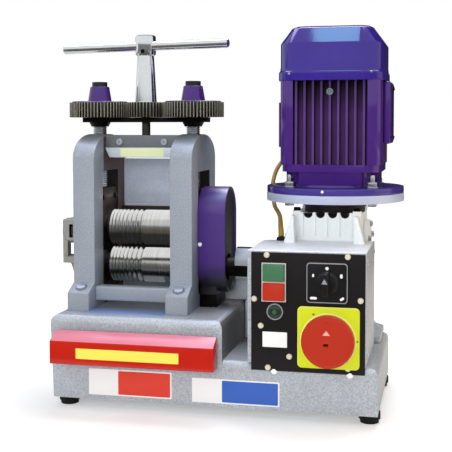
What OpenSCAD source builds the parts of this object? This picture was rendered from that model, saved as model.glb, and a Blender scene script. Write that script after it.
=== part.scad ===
// Bench-top electric rolling mill for sheet and wire.
// Millimetres, +Z up, +X to the right seen from the front, +Y to the back.
// Origin on the bench under the middle of the base casting.

/* [Base casting] */
// Length of the base along X, mm
base_l = 447; // [425:1:540]
// Depth of the base along Y, mm
base_d = 241; // [225:1:300]
// Height of the lower step's top above the bench, mm
step_z = 77.5; // [68:0.5:92]
// Height of the mill platform's top above the bench, mm
plat_z = 130.5; // [120:0.5:150]
// Length of the mill platform along X, mm
plat_l = 240.5; // [232:0.5:250]
// Radius of the casting's rounded top edges, mm
base_r = 11; // [5:1:14]
// Height of the four feet, mm
foot_h = 15; // [10:1:22]
// Radius of the four feet, mm
foot_r = 14.5; // [10:0.5:18]

/* [Mill housings] */
// Thickness of each housing along X, mm
frame_t = 32; // [26:1:36]
// Depth of each housing along Y, mm
frame_d = 141; // [130:1:160]
// Height of the housings above the platform, mm
frame_h = 249; // [240:1:290]
// Height of the arched top of each housing, mm
arch_h = 34; // [20:1:44]
// Width of the window that holds the chocks, mm
window_w = 68; // [60:1:72]
// Length of the cast toes in front of and behind each housing, mm
toe_l = 25; // [15:1:28]
// Height of the toes at their outer edge, mm
toe_h = 25.5; // [18:0.5:32]

/* [Rolls] */
// Radius of the roll barrels, mm
roll_r = 26; // [23:0.5:27]
// Gap between the two barrels at rest, mm
roll_gap = 3.5; // [3.3:0.1:4.4]
// Space between each end of the barrels and the housings, mm
roll_end_gap = 5; // [4:0.5:9]
// Radius of the roll necks, mm
neck_r = 17; // [13:0.5:19]
// Height of the lower roll's axis above the platform, mm
lower_roll_h = 55.5; // [53:0.5:60]
// Length of the grooved part of each barrel, mm
grooved_l = 49; // [40:1:52]
// Number of V grooves in each barrel
groove_n = 8; // [4:1:10]

/* [Screw-down gear] */
// Tooth size of the screw-down gears, mm
gear_m = 1.5; // [1.4:0.05:1.55]
// Teeth of each large screw gear
gear_n = 58; // [54:2:60]
// Teeth of the middle pinion
pinion_n = 38; // [36:2:40]
// Face width of the screw-down gears, mm
gear_w = 22; // [16:1:24]
// Radius of the pressure screws, mm
screw_r = 10.2; // [8:0.1:11]
// Length of the cross bar of the T handle, mm
handle_l = 277; // [220:1:290]
// Angle of the cross bar at rest, degrees
handle_a = -12.6; // [-40:0.1:40]
// Height of the cross bar above the bench, mm
handle_z = 508.5; // [480:0.5:530]

/* [Motor and gearbox] */
// Radius of the round motor flange, mm
flange_r = 100; // [90:1:104]
// Half the width of the square motor body over its fins, mm
motor_a = 72; // [62:0.5:76]
// Height of the flange's lower face above the bench, mm
flange_z = 283; // [280:1:292]
// Length of the finned motor body, mm
stator_l = 118; // [100:1:140]
// Number of cooling fins on each side of the motor
fin_n = 9; // [5:2:13]
// Width of the gearbox along X, mm
gbox_w = 98; // [90:1:104]
// Distance from the output shaft back to the motor's axis, mm
gbox_c = 48; // [44:1:52]

/* [Controls] */
// Width of the control box, mm
box_w = 157; // [150:1:160]
// Height of the control box's top above the bench, mm
box_z = 228; // [222:1:232]
// Width of the black front panel, mm
panel_w = 149.8; // [144:0.1:152]
// Side of the square switch-disconnector plate, mm
iso_w = 81; // [70:1:84]
// Radius of the red disconnector knob, mm
iso_r = 34.5; // [28:0.5:36]
// Length of the emergency bar, mm
bar_l = 229; // [200:1:232]
// Width of the gap between the emergency bar and the base, mm
bar_gap = 8; // [7.5:0.5:10]

/* [Hidden] */
$fn = 96;
// Running clearance of shafts in their bores
run = 0.05;
// Side clearance of the sliding chocks in the windows
slide_gap = 0.3;
// Clearance between faces of parts that turn on each other
turn_gap = 0.3;

x0 = -base_l / 2;
x1 = base_l / 2;
yf = -base_d / 2;
plat_x1 = x0 + plat_l;
gear_c = gear_m * (gear_n + pinion_n) / 2;
mill_x = x0 + 97;
mill_y = 5;
left_x = mill_x - gear_c;
right_x = mill_x + gear_c;
inner_x0 = left_x + frame_t / 2;
inner_x1 = right_x - frame_t / 2;
roll_l = inner_x1 - inner_x0 - 2 * roll_end_gap;
frame_top = plat_z + frame_h;
lower_z = plat_z + lower_roll_h;
upper_z = lower_z + 2 * roll_r + roll_gap;
window_z0 = lower_z - 36;
window_z1 = frame_top - 53.5;
chock_t = frame_t - 4;
carrier_z = frame_top + 17.5;
carrier_t = 7;
gear_z = carrier_z + carrier_t + turn_gap;
gear_ro = gear_m * (gear_n + 2) / 2;
pinion_ro = gear_m * (pinion_n + 2) / 2;
screw_z0 = upper_z + 58.5 + turn_gap;
motor_x = x1 - 75.5;
motor_round = 18;
stator_z0 = flange_z + 54;
cowl_z0 = stator_z0 + stator_l;
flange_t = 12;
motor_flange_t = 9.5;
flange_ring_h = 3.5;
input_neck_r = 44;
gbox_z0 = step_z + 72.5;
gbox_z1 = flange_z - 17;
gbox_d = 114;
cover_t = 8;
motor_y = mill_y + gbox_c;
gbox_x0 = motor_x - gbox_w / 2 - 6.5;
gbox_x1 = gbox_x0 + gbox_w;
box_x1 = x1 - 15;
box_x0 = box_x1 - box_w;
box_mid = (box_x0 + box_x1) / 2;
panel_y = yf - 3;
guard_x0 = right_x + frame_t / 2;
guard_x1 = guard_x0 + 40.2;
guard_r = 39;
shaft_r = 14;
roll_gear_n = 20;

// a square of half side a with corners of radius r
function rounded_square(a, r) = [
    for (q = [0 : 3])
        for (k = [0 : 6])
            let (t = 90 * q + 15 * k, sx = q == 0 || q == 3 ? 1 : -1, sy = q < 2 ? 1 : -1)
                [sx * (a - r) + r * cos(t), sy * (a - r) + r * sin(t)]
];

// a closed solid through a stack of rounded squares, each [half side, corner radius, height]
module stacked(rings) {
    outlines = [for (ring = rings) rounded_square(ring[0], ring[1])];
    sides = len(outlines[0]);
    top = len(rings) - 1;
    pts = [for (i = [0 : top]) for (p = outlines[i]) [p[0], p[1], rings[i][2]]];
    walls = [for (i = [0 : top - 1])
        for (k = [0 : sides - 1])
            let (a = i * sides + k, b = i * sides + (k + 1) % sides)
                [a, a + sides, b + sides, b]];
    lid = [for (k = [sides - 1 : -1 : 0]) top * sides + k];
    polyhedron(points = pts, faces = concat([[for (k = [0 : sides - 1]) k]], walls, [lid]),
        convexity = 4);
}

function gear_pts(n, ro, ri, tip, root) = [
    for (i = [0 : n - 1])
        for (j = [0 : 3])
            let (k = [-root, -tip, tip, root][j], r = [ri, ro, ro, ri][j])
                [r * cos((i + k) * 360 / n), r * sin((i + k) * 360 / n)]
];

module ybox(x, y, z, w, d, h) {
    translate([x, y, z]) cube([w, d, h]);
}

// ---------- base ----------
module rounded_block(xa, xb, za, zb, r, flare) {
    intersection() {
        translate([0, base_d / 2, 0]) rotate([90, 0, 0]) linear_extrude(base_d) union() {
            polygon([[xa, za], [xb, za], [xb, zb - r], [xb - r, zb], [xa - flare + r, zb],
                [xa - flare, zb - r]]);
            translate([xb - r, zb - r]) circle(r);
            translate([xa - flare + r, zb - r]) circle(r);
        }
        translate([xa - 20, 0, 0]) rotate([90, 0, 90]) linear_extrude(xb - xa + 40) union() {
            polygon([[yf, za], [-yf, za], [-yf, zb - r], [-yf - r, zb], [yf + r, zb], [yf, zb - r]]);
            translate([-yf - r, zb - r]) circle(r);
            translate([yf + r, zb - r]) circle(r);
        }
    }
}

module base_casting() {
    color([0.66, 0.69, 0.73]) difference() {
        union() {
            rounded_block(x0, plat_x1, foot_h, plat_z, base_r, 4);
            rounded_block(plat_x1 - 40, x1, foot_h, step_z, base_r, 0);
        }
        for (s = [-1, 1])
            translate([bar_x() + s * bar_l * 0.36, yf + 30, bar_z() + 18]) rotate([90, 0, 0])
                cylinder(h = 60, r = 4 + run);
    }
}

module rubber_feet() {
    in_x = 12.5;
    in_y = 28;
    color([0.12, 0.12, 0.12])
        for (sx = [-1, 1])
            for (sy = [-1, 1])
                translate([sx * (base_l / 2 - in_x), sy * (base_d / 2 - in_y), 0]) union() {
                    cylinder(h = 5, r = foot_r - 2);
                    translate([0, 0, 5]) cylinder(h = foot_h - 5, r = foot_r);
                }
}

// ---------- mill frame ----------
module housing_profile() {
    ya = mill_y - frame_d / 2;
    yb = mill_y + frame_d / 2;
    spring = frame_top - arch_h;
    difference() {
        polygon(concat(
            [[ya - toe_l, plat_z], [yb + toe_l, plat_z], [yb + toe_l, plat_z + toe_h],
                [yb, plat_z + toe_h + 12], [yb, spring]],
            [for (i = [1 : 23]) [mill_y + frame_d / 2 * cos(i * 7.5),
                spring + arch_h * sin(i * 7.5)]],
            [[ya, spring], [ya, plat_z + toe_h + 12], [ya - toe_l, plat_z + toe_h]]));
        translate([mill_y - window_w / 2, window_z0]) square([window_w, window_z1 - window_z0]);
    }
}

module housing(cx) {
    difference() {
        translate([cx - frame_t / 2, 0, 0]) rotate([90, 0, 90]) linear_extrude(frame_t)
            housing_profile();
        translate([cx, mill_y, window_z1 - 5]) cylinder(h = 80, r = screw_r + run);
    }
}

module left_housing() {
    color([0.60, 0.63, 0.67]) housing(left_x);
}

module right_housing() {
    color([0.60, 0.63, 0.67]) housing(right_x);
}

module top_tie() {
    color([0.28, 0.29, 0.31]) difference() {
        ybox(inner_x0, mill_y - 20.5, frame_top - 19.5, inner_x1 - inner_x0, 41, 18);
        translate([mill_x, mill_y, frame_top - 30]) cylinder(h = 40, r = 6.2 + run);
    }
}

module name_strip() {
    w = inner_x1 - inner_x0;
    color([0.86, 0.88, 0.88]) translate([inner_x0, mill_y - 20.5, 0]) rotate([90, 0, 0])
        linear_extrude(4)
            polygon([[0, frame_top - 19.5], [w, frame_top - 19.5], [w - 7, frame_top - 34],
                [7, frame_top - 34]]);
    color([0.86, 0.88, 0.88])
        ybox(inner_x0 + 7, mill_y - 20.5, frame_top - 34, w - 14, 6, 14.5);
}

module rear_plate() {
    color([0.60, 0.63, 0.67])
        ybox(inner_x0, mill_y + frame_d / 2 - 9, frame_top - 108, inner_x1 - inner_x0, 8, 70);
}

module lower_ties() {
    color([0.60, 0.63, 0.67])
        for (s = [-1, 1])
            ybox(inner_x0, mill_y + s * (frame_d / 2 - 10) - 10, plat_z + 11.5,
                inner_x1 - inner_x0, 20, 20.5);
}

module chock(cx, za, zb, axis_z, gap) {
    difference() {
        ybox(cx - chock_t / 2, mill_y - window_w / 2 + gap, za, chock_t, window_w - 2 * gap,
            zb - za);
        translate([cx - frame_t, mill_y, axis_z]) rotate([0, 90, 0])
            cylinder(h = 2 * frame_t, r = neck_r + run);
    }
}

module lower_chocks() {
    color([0.38, 0.33, 0.27]) {
        chock(left_x, window_z0, lower_z + 22, lower_z, 0);
        chock(right_x, window_z0, lower_z + 22, lower_z, 0);
    }
}

module upper_chocks() {
    color([0.38, 0.33, 0.27]) {
        chock(left_x, upper_z - 24.5, upper_z + 58.5, upper_z, slide_gap);
        chock(right_x, upper_z - 24.5, upper_z + 58.5, upper_z, slide_gap);
    }
}

module side_bracket() {
    xa = left_x - frame_t / 2;
    xl = xa - 39.5;
    arm_z = lower_z + 0.5;
    arm_h = 10.5;
    post_w = 6;
    eye_z = lower_z + 48;
    eye_r = 19;
    color([0.55, 0.57, 0.60]) union() {
        ybox(xa - 4, mill_y - 48, lower_z - 26, 4, 96, 44);
        ybox(xl, mill_y - 9, arm_z, xa - 3 - xl, 18, arm_h);
        ybox(xl, mill_y - 5, arm_z, post_w, 10, eye_z - eye_r + 4 - arm_z);
        translate([0, mill_y + 3, 0]) rotate([90, 0, 0]) linear_extrude(6)
            polygon([[xa - 3, arm_z + 1], [xl + 12, arm_z + 1], [xl + 12, arm_z - 2],
                [xa - 3, arm_z - 14]]);
        difference() {
            translate([xl + 1.5, mill_y, eye_z]) rotate([0, 90, 0]) cylinder(h = 20, r = eye_r);
            translate([xl + 8, mill_y, eye_z]) rotate([0, 90, 0]) cylinder(h = 40, r = 13);
        }
    }
}

// ---------- rolls ----------
function groove_w(i) = grooved_l * (0.55 + 0.45 * i / groove_n)
    / (groove_n * 0.55 + 0.45 * (groove_n - 1) / 2);
function groove_x(i) = i <= 0 ? 0 : groove_x(i - 1) + groove_w(i - 1);

module roll_profile(xa, xb, neck_a, neck_b, collar) {
    ga = xa + 2;
    polygon(concat(
        [[0, neck_a], [neck_r - 1, neck_a], [neck_r, neck_a + 1], [neck_r, xa - collar],
            [neck_r + 4, xa - collar], [neck_r + 4, xa], [roll_r - 1, xa], [roll_r, xa + 1]],
        [for (i = [0 : groove_n - 1])
            for (k = [0 : 2])
                let (w = groove_w(i), d = w * 0.42)
                    k == 0 ? [roll_r, ga + groove_x(i) + 0.4]
                    : k == 1 ? [roll_r - d, ga + groove_x(i) + w / 2]
                    : [roll_r, ga + groove_x(i) + w - 0.4]],
        [[roll_r, xb - 1], [roll_r - 1, xb], [neck_r + 4, xb], [neck_r + 4, xb + collar],
            [neck_r, xb + collar], [neck_r, right_x + frame_t / 2 - 2],
            [shaft_r, right_x + frame_t / 2 - 2], [shaft_r, neck_b - 1], [shaft_r - 1, neck_b],
            [0, neck_b]]));
}

module roll_solid(zc, neck_a, neck_b) {
    xa = mill_x - roll_l / 2;
    xb = mill_x + roll_l / 2;
    translate([0, mill_y, zc]) rotate([0, 90, 0]) rotate_extrude()
        roll_profile(xa, xb, neck_a, neck_b, 3.5);
}

module lower_roll() {
    color([0.80, 0.81, 0.82])
        roll_solid(lower_z, left_x - frame_t / 2 + 1, gbox_x0 + 30);
}

module upper_roll() {
    color([0.80, 0.81, 0.82])
        roll_solid(upper_z, left_x - frame_t / 2 - 5, guard_x0 + 30);
}

module roll_gear(zc, phase, xa) {
    rp = (2 * roll_r + roll_gap) / 2;
    difference() {
        translate([xa, mill_y, zc]) rotate([0, 90, 0]) rotate([0, 0, phase]) linear_extrude(20)
            polygon(gear_pts(roll_gear_n, rp + 1.75, rp - 5.75, 0.085, 0.26));
        translate([xa - 5, mill_y, zc]) rotate([0, 90, 0]) cylinder(h = 30, r = shaft_r);
    }
}

module lower_roll_gear() {
    color([0.45, 0.45, 0.46]) roll_gear(lower_z, 0, guard_x0 + 8);
}

module upper_roll_gear() {
    color([0.45, 0.45, 0.46]) roll_gear(upper_z, 180 / roll_gear_n, guard_x0 + 8);
}

// ---------- gear guard and coupling cover ----------
module obround(r, za, zb) {
    translate([mill_y, 0]) union() {
        translate([0, za + guard_r]) circle(r);
        translate([0, zb - guard_r]) circle(r);
        translate([-r, za + guard_r]) square([2 * r, zb - za - 2 * guard_r]);
    }
}

module gear_guard() {
    za = lower_z - 36.5;
    zb = upper_z + 62;
    stand_w = 25;
    stand_d = 56;
    color([0.36, 0.22, 0.62]) difference() {
        union() {
            translate([guard_x0, 0, 0]) rotate([90, 0, 90]) linear_extrude(guard_x1 - guard_x0)
                obround(guard_r, za, zb);
            ybox(guard_x0, mill_y - stand_d / 2, plat_z, stand_w, stand_d, za + 14 - plat_z);
        }
        translate([guard_x0 - 1, 0, 0]) rotate([90, 0, 90])
            linear_extrude(guard_x1 - guard_x0 - 4) obround(guard_r - 2, za, zb);
        translate([guard_x1 - 3, 0, 0]) rotate([90, 0, 90]) linear_extrude(10)
            obround(guard_r - 3, za, zb);
        translate([guard_x1 - 12, mill_y, lower_z]) rotate([0, 90, 0]) cylinder(h = 30, r = 19.5);
    }
}

module coupling_cover() {
    xa = guard_x1 + 10;
    len = gbox_x0 - cover_t - xa;
    zc = lower_z + 9;
    wall = 1.5;
    color([0.42, 0.42, 0.40]) difference() {
        union() {
            translate([xa, mill_y, zc]) rotate([0, 90, 0]) cylinder(h = len, r = 21);
            ybox(xa, mill_y - 21, lower_z - 11, len, 42, 20);
        }
        translate([xa - 1, mill_y, zc]) rotate([0, 90, 0]) cylinder(h = len + 2, r = 21 - wall);
        ybox(xa - 1, mill_y - 21 + wall, lower_z - 40, len + 2, 42 - 2 * wall, 49);
        ybox(xa - 1, mill_y - 40, lower_z - 60, len + 2, 80, 49);
    }
}

// ---------- gearbox ----------
module gearbox_pedestal() {
    mx = (gbox_x0 + gbox_x1) / 2;
    w = gbox_w / 2 + 2;
    flare = 26;
    color([0.66, 0.69, 0.73]) translate([0, mill_y + gbox_d - 2, 0]) rotate([90, 0, 0])
        linear_extrude(gbox_d - 28) difference() {
            polygon([[mx - w - flare, step_z], [box_x1 + 8, step_z], [box_x1 + 8, step_z + 10],
                [box_x1 - 6, step_z + 14], [mx + w + 4, gbox_z0 - 12], [mx + w, gbox_z0],
                [mx - w, gbox_z0], [mx - w - 4, gbox_z0 - 12],
                [mx - w - flare, step_z + 12]]);
            translate([mx - 26, step_z - 1]) square([52, 46]);
        }
}

module gearbox_body() {
    mx = (gbox_x0 + gbox_x1) / 2;
    y0 = mill_y - 2;
    rib_n = 5;
    rib_t = 4;
    rib_d = 9;
    lug = 12;
    color([0.88, 0.90, 0.90]) difference() {
        union() {
            ybox(gbox_x0, y0, gbox_z0, gbox_w, gbox_d, gbox_z1 - gbox_z0);
            translate([gbox_x0, mill_y, lower_z]) rotate([0, 90, 0])
                cylinder(h = gbox_w, r = 36);
            for (i = [0 : rib_n - 1])
                ybox(mx + (i - (rib_n - 1) / 2) * gbox_w * 0.178 - rib_t / 2, y0 - 4, box_z + 6,
                    rib_t, rib_d, gbox_z1 - box_z - 4);
            for (x = [gbox_x0, gbox_x1 - lug])
                for (y = [y0, y0 + gbox_d - lug])
                    ybox(x, y, gbox_z1 - 1, lug, lug, 5);
        }
        translate([gbox_x0 - 1, mill_y, lower_z]) rotate([0, 90, 0])
            cylinder(h = 36, r = shaft_r + run);
    }
}

module gearbox_covers() {
    color([0.84, 0.86, 0.87])
        for (x = [gbox_x0 - cover_t, gbox_x1])
            translate([x, motor_y + 10, lower_z + 24]) rotate([0, 90, 0])
                cylinder(h = cover_t, r = 44);
}

module input_flange() {
    color([0.82, 0.84, 0.86]) translate([motor_x, motor_y, 0]) union() {
        translate([0, 0, gbox_z1]) cylinder(h = flange_z - gbox_z1 + 1, r = input_neck_r);
        translate([0, 0, flange_z]) cylinder(h = flange_t, r = flange_r);
    }
}

// ---------- motor ----------
module motor_flange() {
    color([0.30, 0.20, 0.55]) translate([motor_x, motor_y, flange_z + flange_t]) union() {
        cylinder(h = motor_flange_t, r = flange_r - 0.5);
        translate([0, 0, motor_flange_t]) cylinder(h = flange_ring_h, r = 70);
    }
}

// the boss on the back of the stator that holds the cable's gland
boss_size = [20, 20, 20];
boss_p = [-motor_a + 24, motor_a - 2, 3 + stator_z0];

module motor_body() {
    neck_z = flange_z + flange_t + motor_flange_t + flange_ring_h;
    ledge_h = 10.5;
    bolt_circle_r = 82.5;
    slot_d = 15;
    fin_t = 3;
    fin_pitch = 2 * (motor_a - motor_round - 6.8) / (fin_n - 1);
    slot_h = stator_l + 2;
    color([0.30, 0.20, 0.55]) translate([motor_x, motor_y, 0]) union() {
        translate([0, 0, neck_z]) difference() {
            linear_extrude(stator_z0 - neck_z) polygon(rounded_square(motor_a - 7, 20));
            for (t = [45 : 90 : 315])
                rotate([0, 0, t]) translate([bolt_circle_r, 0, -1])
                    cylinder(h = stator_z0 - neck_z - ledge_h + 1, r = 15.5);
        }
        translate([0, 0, stator_z0 - ledge_h]) linear_extrude(ledge_h)
            polygon(rounded_square(motor_a - 1.5, 25));
        translate([0, 0, stator_z0]) difference() {
            linear_extrude(stator_l) polygon(rounded_square(motor_a, motor_round));
            for (side = [0 : 3])
                rotate([0, 0, 90 * side]) {
                    for (i = [0 : fin_n - 2])
                        translate([(i - fin_n / 2 + 0.5) * fin_pitch + fin_t / 2,
                            motor_a - slot_d, -1])
                            cube([fin_pitch - fin_t, slot_d + 1, slot_h]);
                    for (s = [-1, 1])
                        translate([s * (motor_a - motor_round - 3.6) - 1.6, motor_a - slot_d, -1])
                            cube([3.2, slot_d + 1, slot_h]);
                }
        }
        translate([-motor_a - 5, -40, stator_z0 + 24]) cube([5 + slot_d, 80, 64]);
        translate(boss_p) cube(boss_size);
    }
}

module fan_cowl() {
    wall_a = motor_a + 2;
    wall_r = 34;
    rim_out = 1.8;
    rim_h = 11.5;
    wall_z = 52.2;
    slope_z = 74.5;
    top_z = 80;
    inset = 16.5;
    color([0.30, 0.20, 0.55]) translate([motor_x, motor_y, cowl_z0])
        stacked([[wall_a + rim_out, wall_r - 4, 0], [wall_a + rim_out, wall_r - 4, rim_h],
            [wall_a + 0.6, wall_r - 2, rim_h + 2], [wall_a, wall_r, rim_h + 8],
            [wall_a, wall_r, wall_z], [wall_a - inset, wall_r - inset, slope_z],
            [wall_a - inset - 6, wall_r - inset - 2, slope_z + 2.5],
            [wall_a - inset - 35, 6, top_z]]);
}

module terminal_box() {
    color([0.30, 0.20, 0.55])
        ybox(motor_x + motor_a, motor_y - 44, stator_z0 + 29, 10, 88, stator_l - 30);
}

// ---------- cable ----------
cable_r = 3.2;
gland_r = 6.5;
gland_l = 8;
deck_gland_x = 78;
deck_gland_y = -6;
deck_gland_h = 5;
// the cable and its glands move with the right end of the base
cable_x = x1 - 223.5;
// the cable's middle line, from the gland on the motor to the gland on the control box
cable_route = [[92, 133, 350], [83, 133, 350], [74, 132, 348], [65, 129, 343], [57, 124, 335],
    [51, 117, 325], [48, 109, 314], [47, 101, 303], [48, 94, 292], [50, 87, 281], [53, 78, 273],
    [57, 67, 268], [62, 54, 265], [66, 41, 263], [70, 28, 260], [73, 16, 255], [75, 6, 248],
    [77, -2, 241], [78, -6, 233]];

function unit(v) = v / norm(v);

module tube(route, r, sides, first, last) {
    n = len(route);
    dirs = [for (i = [0 : n - 1]) i == 0 ? first
        : i == n - 1 ? last : unit(route[i + 1] - route[i - 1])];
    pts = [for (i = [0 : n - 1])
        let (u = unit(cross(dirs[i], [0.15, 1, 0.2])), v = cross(dirs[i], u))
            for (k = [0 : sides - 1])
                route[i] + r * cos(360 * k / sides) * u + r * sin(360 * k / sides) * v];
    faces = concat([[for (k = [0 : sides - 1]) k]],
        [for (i = [0 : n - 2])
            for (k = [0 : sides - 1])
                let (a = i * sides + k, b = i * sides + (k + 1) % sides)
                    [a, a + sides, b + sides, b]],
        [[for (k = [sides - 1 : -1 : 0]) (n - 1) * sides + k]]);
    polyhedron(points = pts, faces = faces, convexity = 6);
}

module motor_cable() {
    color([0.62, 0.50, 0.20]) translate([cable_x, 0, 0])
        tube(cable_route, cable_r, 10, [-1, 0, 0], [0, 0, -1]);
}

module cable_glands() {
    color([0.10, 0.10, 0.10]) {
        translate([cable_x + deck_gland_x, deck_gland_y, box_z])
            cylinder(h = deck_gland_h, r = gland_r);
        translate([motor_x, motor_y, 0] + boss_p + [-gland_l, boss_size[1] / 2, boss_size[2] / 2])
            rotate([0, 90, 0]) cylinder(h = gland_l, r = gland_r);
    }
}

// ---------- control box ----------
module control_box() {
    sheet = 3;
    color([0.62, 0.65, 0.69]) union() {
        ybox(box_x0, yf, step_z, box_w, 58, box_z - step_z);
        ybox(box_x0, yf, box_z - sheet, box_w, mill_y - 4 - yf, sheet);
        ybox(box_x1 - sheet, yf, step_z, sheet, mill_y + 16 - yf, box_z - step_z);
    }
}

module front_panel() {
    color([0.10, 0.10, 0.10])
        ybox(box_mid - panel_w / 2 + 2.1, panel_y, box_z - 159, panel_w, 3, 157);
}

btn_x = box_x0 + 36.6;
btn_z = box_z - 41;
bezel_w = 32;
bezel_h = 51;
bezel_edge = 1.3;
bezel_bar = 2.4;
window_h = (bezel_h - 2 * bezel_edge - bezel_bar) / 2;
button_gap = 0.25;
module button_bezel() {
    color([0.88, 0.88, 0.84]) difference() {
        ybox(btn_x - bezel_w / 2, panel_y - 4, btn_z - bezel_h / 2, bezel_w, 4, bezel_h);
        for (z = [btn_z - bezel_h / 2 + bezel_edge, btn_z + bezel_bar / 2])
            ybox(btn_x - bezel_w / 2 + bezel_edge, panel_y - 10, z, bezel_w - 2 * bezel_edge, 20,
                window_h);
    }
}

module push_button(side) {
    w = bezel_w - 2 * (bezel_edge + button_gap);
    h = window_h - 2 * button_gap;
    zc = btn_z + side * (bezel_bar + window_h) / 2;
    ybox(btn_x - w / 2, panel_y - 8, zc - h / 2, w, 4.8, h);
}

module green_button() {
    color([0.25, 0.55, 0.35]) push_button(1);
}

module red_button() {
    color([0.85, 0.20, 0.15]) push_button(-1);
}

module pilot_lamp() {
    color([0.90, 0.92, 0.90]) translate([box_x0 + 37.8, panel_y, box_z - 80])
        rotate([90, 0, 0]) union() {
            cylinder(h = 3, r = 11.5);
            cylinder(h = 6.5, r = 9.8);
        }
}

cam_x = box_x0 + 106.5;
cam_z = box_z - 39.5;
module cam_plate() {
    color([0.13, 0.13, 0.14]) ybox(cam_x - 27.5, panel_y - 4, cam_z - 27, 55, 4, 54);
}

module cam_knob() {
    color([0.06, 0.06, 0.06]) translate([cam_x, panel_y - 4 - turn_gap, cam_z]) union() {
        rotate([90, 0, 0]) cylinder(h = 6, r = 15);
        translate([-5, -20, -16]) cube([10, 15, 32]);
    }
}

iso_x = box_x0 + 108.3;
iso_z = box_z - 111.5;
module isolator_plate() {
    color([0.92, 0.90, 0.15]) union() {
        ybox(iso_x - iso_w / 2, panel_y - 3, iso_z - iso_w / 2, iso_w, 3, iso_w);
        translate([iso_x, panel_y, iso_z - 3.5]) rotate([90, 0, 0]) cylinder(h = 4.5, r = iso_r + 2);
    }
}

module isolator_knob() {
    face_t = 7;
    rim_t = 9;
    rim_w = 5;
    color([0.82, 0.20, 0.12]) translate([iso_x, panel_y - 4.5 - turn_gap, iso_z - 3.5])
        rotate([90, 0, 0]) difference() {
            cylinder(h = rim_t, r = iso_r);
            translate([0, 0, face_t]) cylinder(h = rim_t, r = iso_r - rim_w);
        }
}

// ---------- emergency bar ----------
function bar_x() = x0 + 121;
function bar_z() = step_z - 8.5;
module emergency_bar() {
    color([0.83, 0.15, 0.08]) union() {
        translate([bar_x() - bar_l / 2, 0, 0]) rotate([90, 0, 90]) linear_extrude(bar_l)
            polygon([[yf - bar_gap, bar_z()], [yf - bar_gap, bar_z() + 43],
                [yf - bar_gap - 22, bar_z() + 31], [yf - bar_gap - 22, bar_z()]]);
        for (s = [-1, 1])
            translate([bar_x() + s * bar_l * 0.36, yf + 22, bar_z() + 18]) rotate([90, 0, 0])
                cylinder(h = 32 + bar_gap, r = 4);
    }
}

// ---------- screw-down gear ----------
module carrier_bar() {
    w = 2 * gear_c + 44;
    color([0.10, 0.10, 0.10]) difference() {
        union() {
            ybox(mill_x - w / 2, mill_y - 15, carrier_z, w, 30, carrier_t);
            for (x = [left_x, right_x])
                translate([x, mill_y, carrier_z - 6.5]) cylinder(h = 6.5, r1 = 12.5, r2 = 16);
        }
        for (x = [left_x, right_x])
            translate([x, mill_y, carrier_z - 20]) cylinder(h = 40, r = screw_r + run);
        translate([mill_x, mill_y, carrier_z - 20]) cylinder(h = 40, r = 6.2 + run);
    }
}

module screw_gear(cx) {
    ri = gear_m * (gear_n - 2.5) / 2;
    color([0.22, 0.22, 0.20]) translate([cx, mill_y, 0]) union() {
        translate([0, 0, gear_z]) linear_extrude(gear_w)
            polygon(gear_pts(gear_n, gear_ro, ri, 0.12, 0.36));
        translate([0, 0, screw_z0]) cylinder(h = gear_z - screw_z0 + 1, r = screw_r);
    }
}

module left_screw() {
    screw_gear(left_x);
}

module right_screw() {
    screw_gear(right_x);
}

module screw_cap(cx) {
    zc = gear_z + gear_w;
    color([0.36, 0.24, 0.66]) translate([cx, mill_y, 0]) union() {
        translate([0, 0, zc]) cylinder(h = 1.5, r = gear_ro - 4);
        translate([0, 0, zc + 1.5]) cylinder(h = 22, r1 = 17.6, r2 = 14);
        translate([0, 0, zc + 23.5]) cylinder(h = 7, r = 11.3);
    }
}

module left_cap() {
    screw_cap(left_x);
}

module right_cap() {
    screw_cap(right_x);
}

module handle_pinion() {
    ri = gear_m * (pinion_n - 2.5) / 2;
    color([0.22, 0.22, 0.20]) difference() {
        translate([mill_x, mill_y, gear_z]) rotate([0, 0, 180 / pinion_n]) linear_extrude(gear_w)
            polygon(gear_pts(pinion_n, pinion_ro, ri, 0.12, 0.36));
        translate([mill_x, mill_y, gear_z - 5]) cylinder(h = gear_w + 10, r = 6.2);
    }
}

module t_handle() {
    zt = gear_z + gear_w;
    rod_r = 6.2;
    bar_r = 6.8;
    bar_slide = 4.2;
    hub_r = 15;
    hub_h = 32;
    hub0 = handle_z - hub_h / 2;
    color([0.78, 0.80, 0.82]) translate([mill_x, mill_y, 0]) union() {
        translate([0, 0, frame_top - 25]) cylinder(h = zt - frame_top + 26, r = rod_r);
        translate([0, 0, zt]) cylinder(h = hub0 - zt, r1 = 15.9, r2 = 12);
        translate([0, 0, hub0]) cylinder(h = hub_h, r = hub_r);
        translate([0, 0, handle_z]) rotate([0, 0, handle_a]) rotate([0, 90, 0])
            translate([0, 0, -handle_l / 2 - bar_slide]) cylinder(h = handle_l, r = bar_r);
    }
}

base_casting();
rubber_feet();
left_housing();
right_housing();
top_tie();
name_strip();
rear_plate();
lower_ties();
lower_chocks();
side_bracket();
gear_guard();
coupling_cover();
gearbox_pedestal();
gearbox_body();
gearbox_covers();
input_flange();
motor_flange();
motor_body();
fan_cowl();
terminal_box();
cable_glands();
motor_cable();
control_box();
front_panel();
button_bezel();
green_button();
red_button();
pilot_lamp();
cam_plate();
cam_knob();
isolator_plate();
isolator_knob();
emergency_bar();
lower_roll();
lower_roll_gear();
upper_roll();
upper_roll_gear();
upper_chocks();
carrier_bar();
left_screw();
right_screw();
left_cap();
right_cap();
t_handle();
handle_pinion();
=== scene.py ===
"""Looks of a bench-top electric rolling mill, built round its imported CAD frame."""
from math import cos, hypot, pi, radians, sin

import bpy
from mathutils import Matrix, Quaternion, Vector


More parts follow.
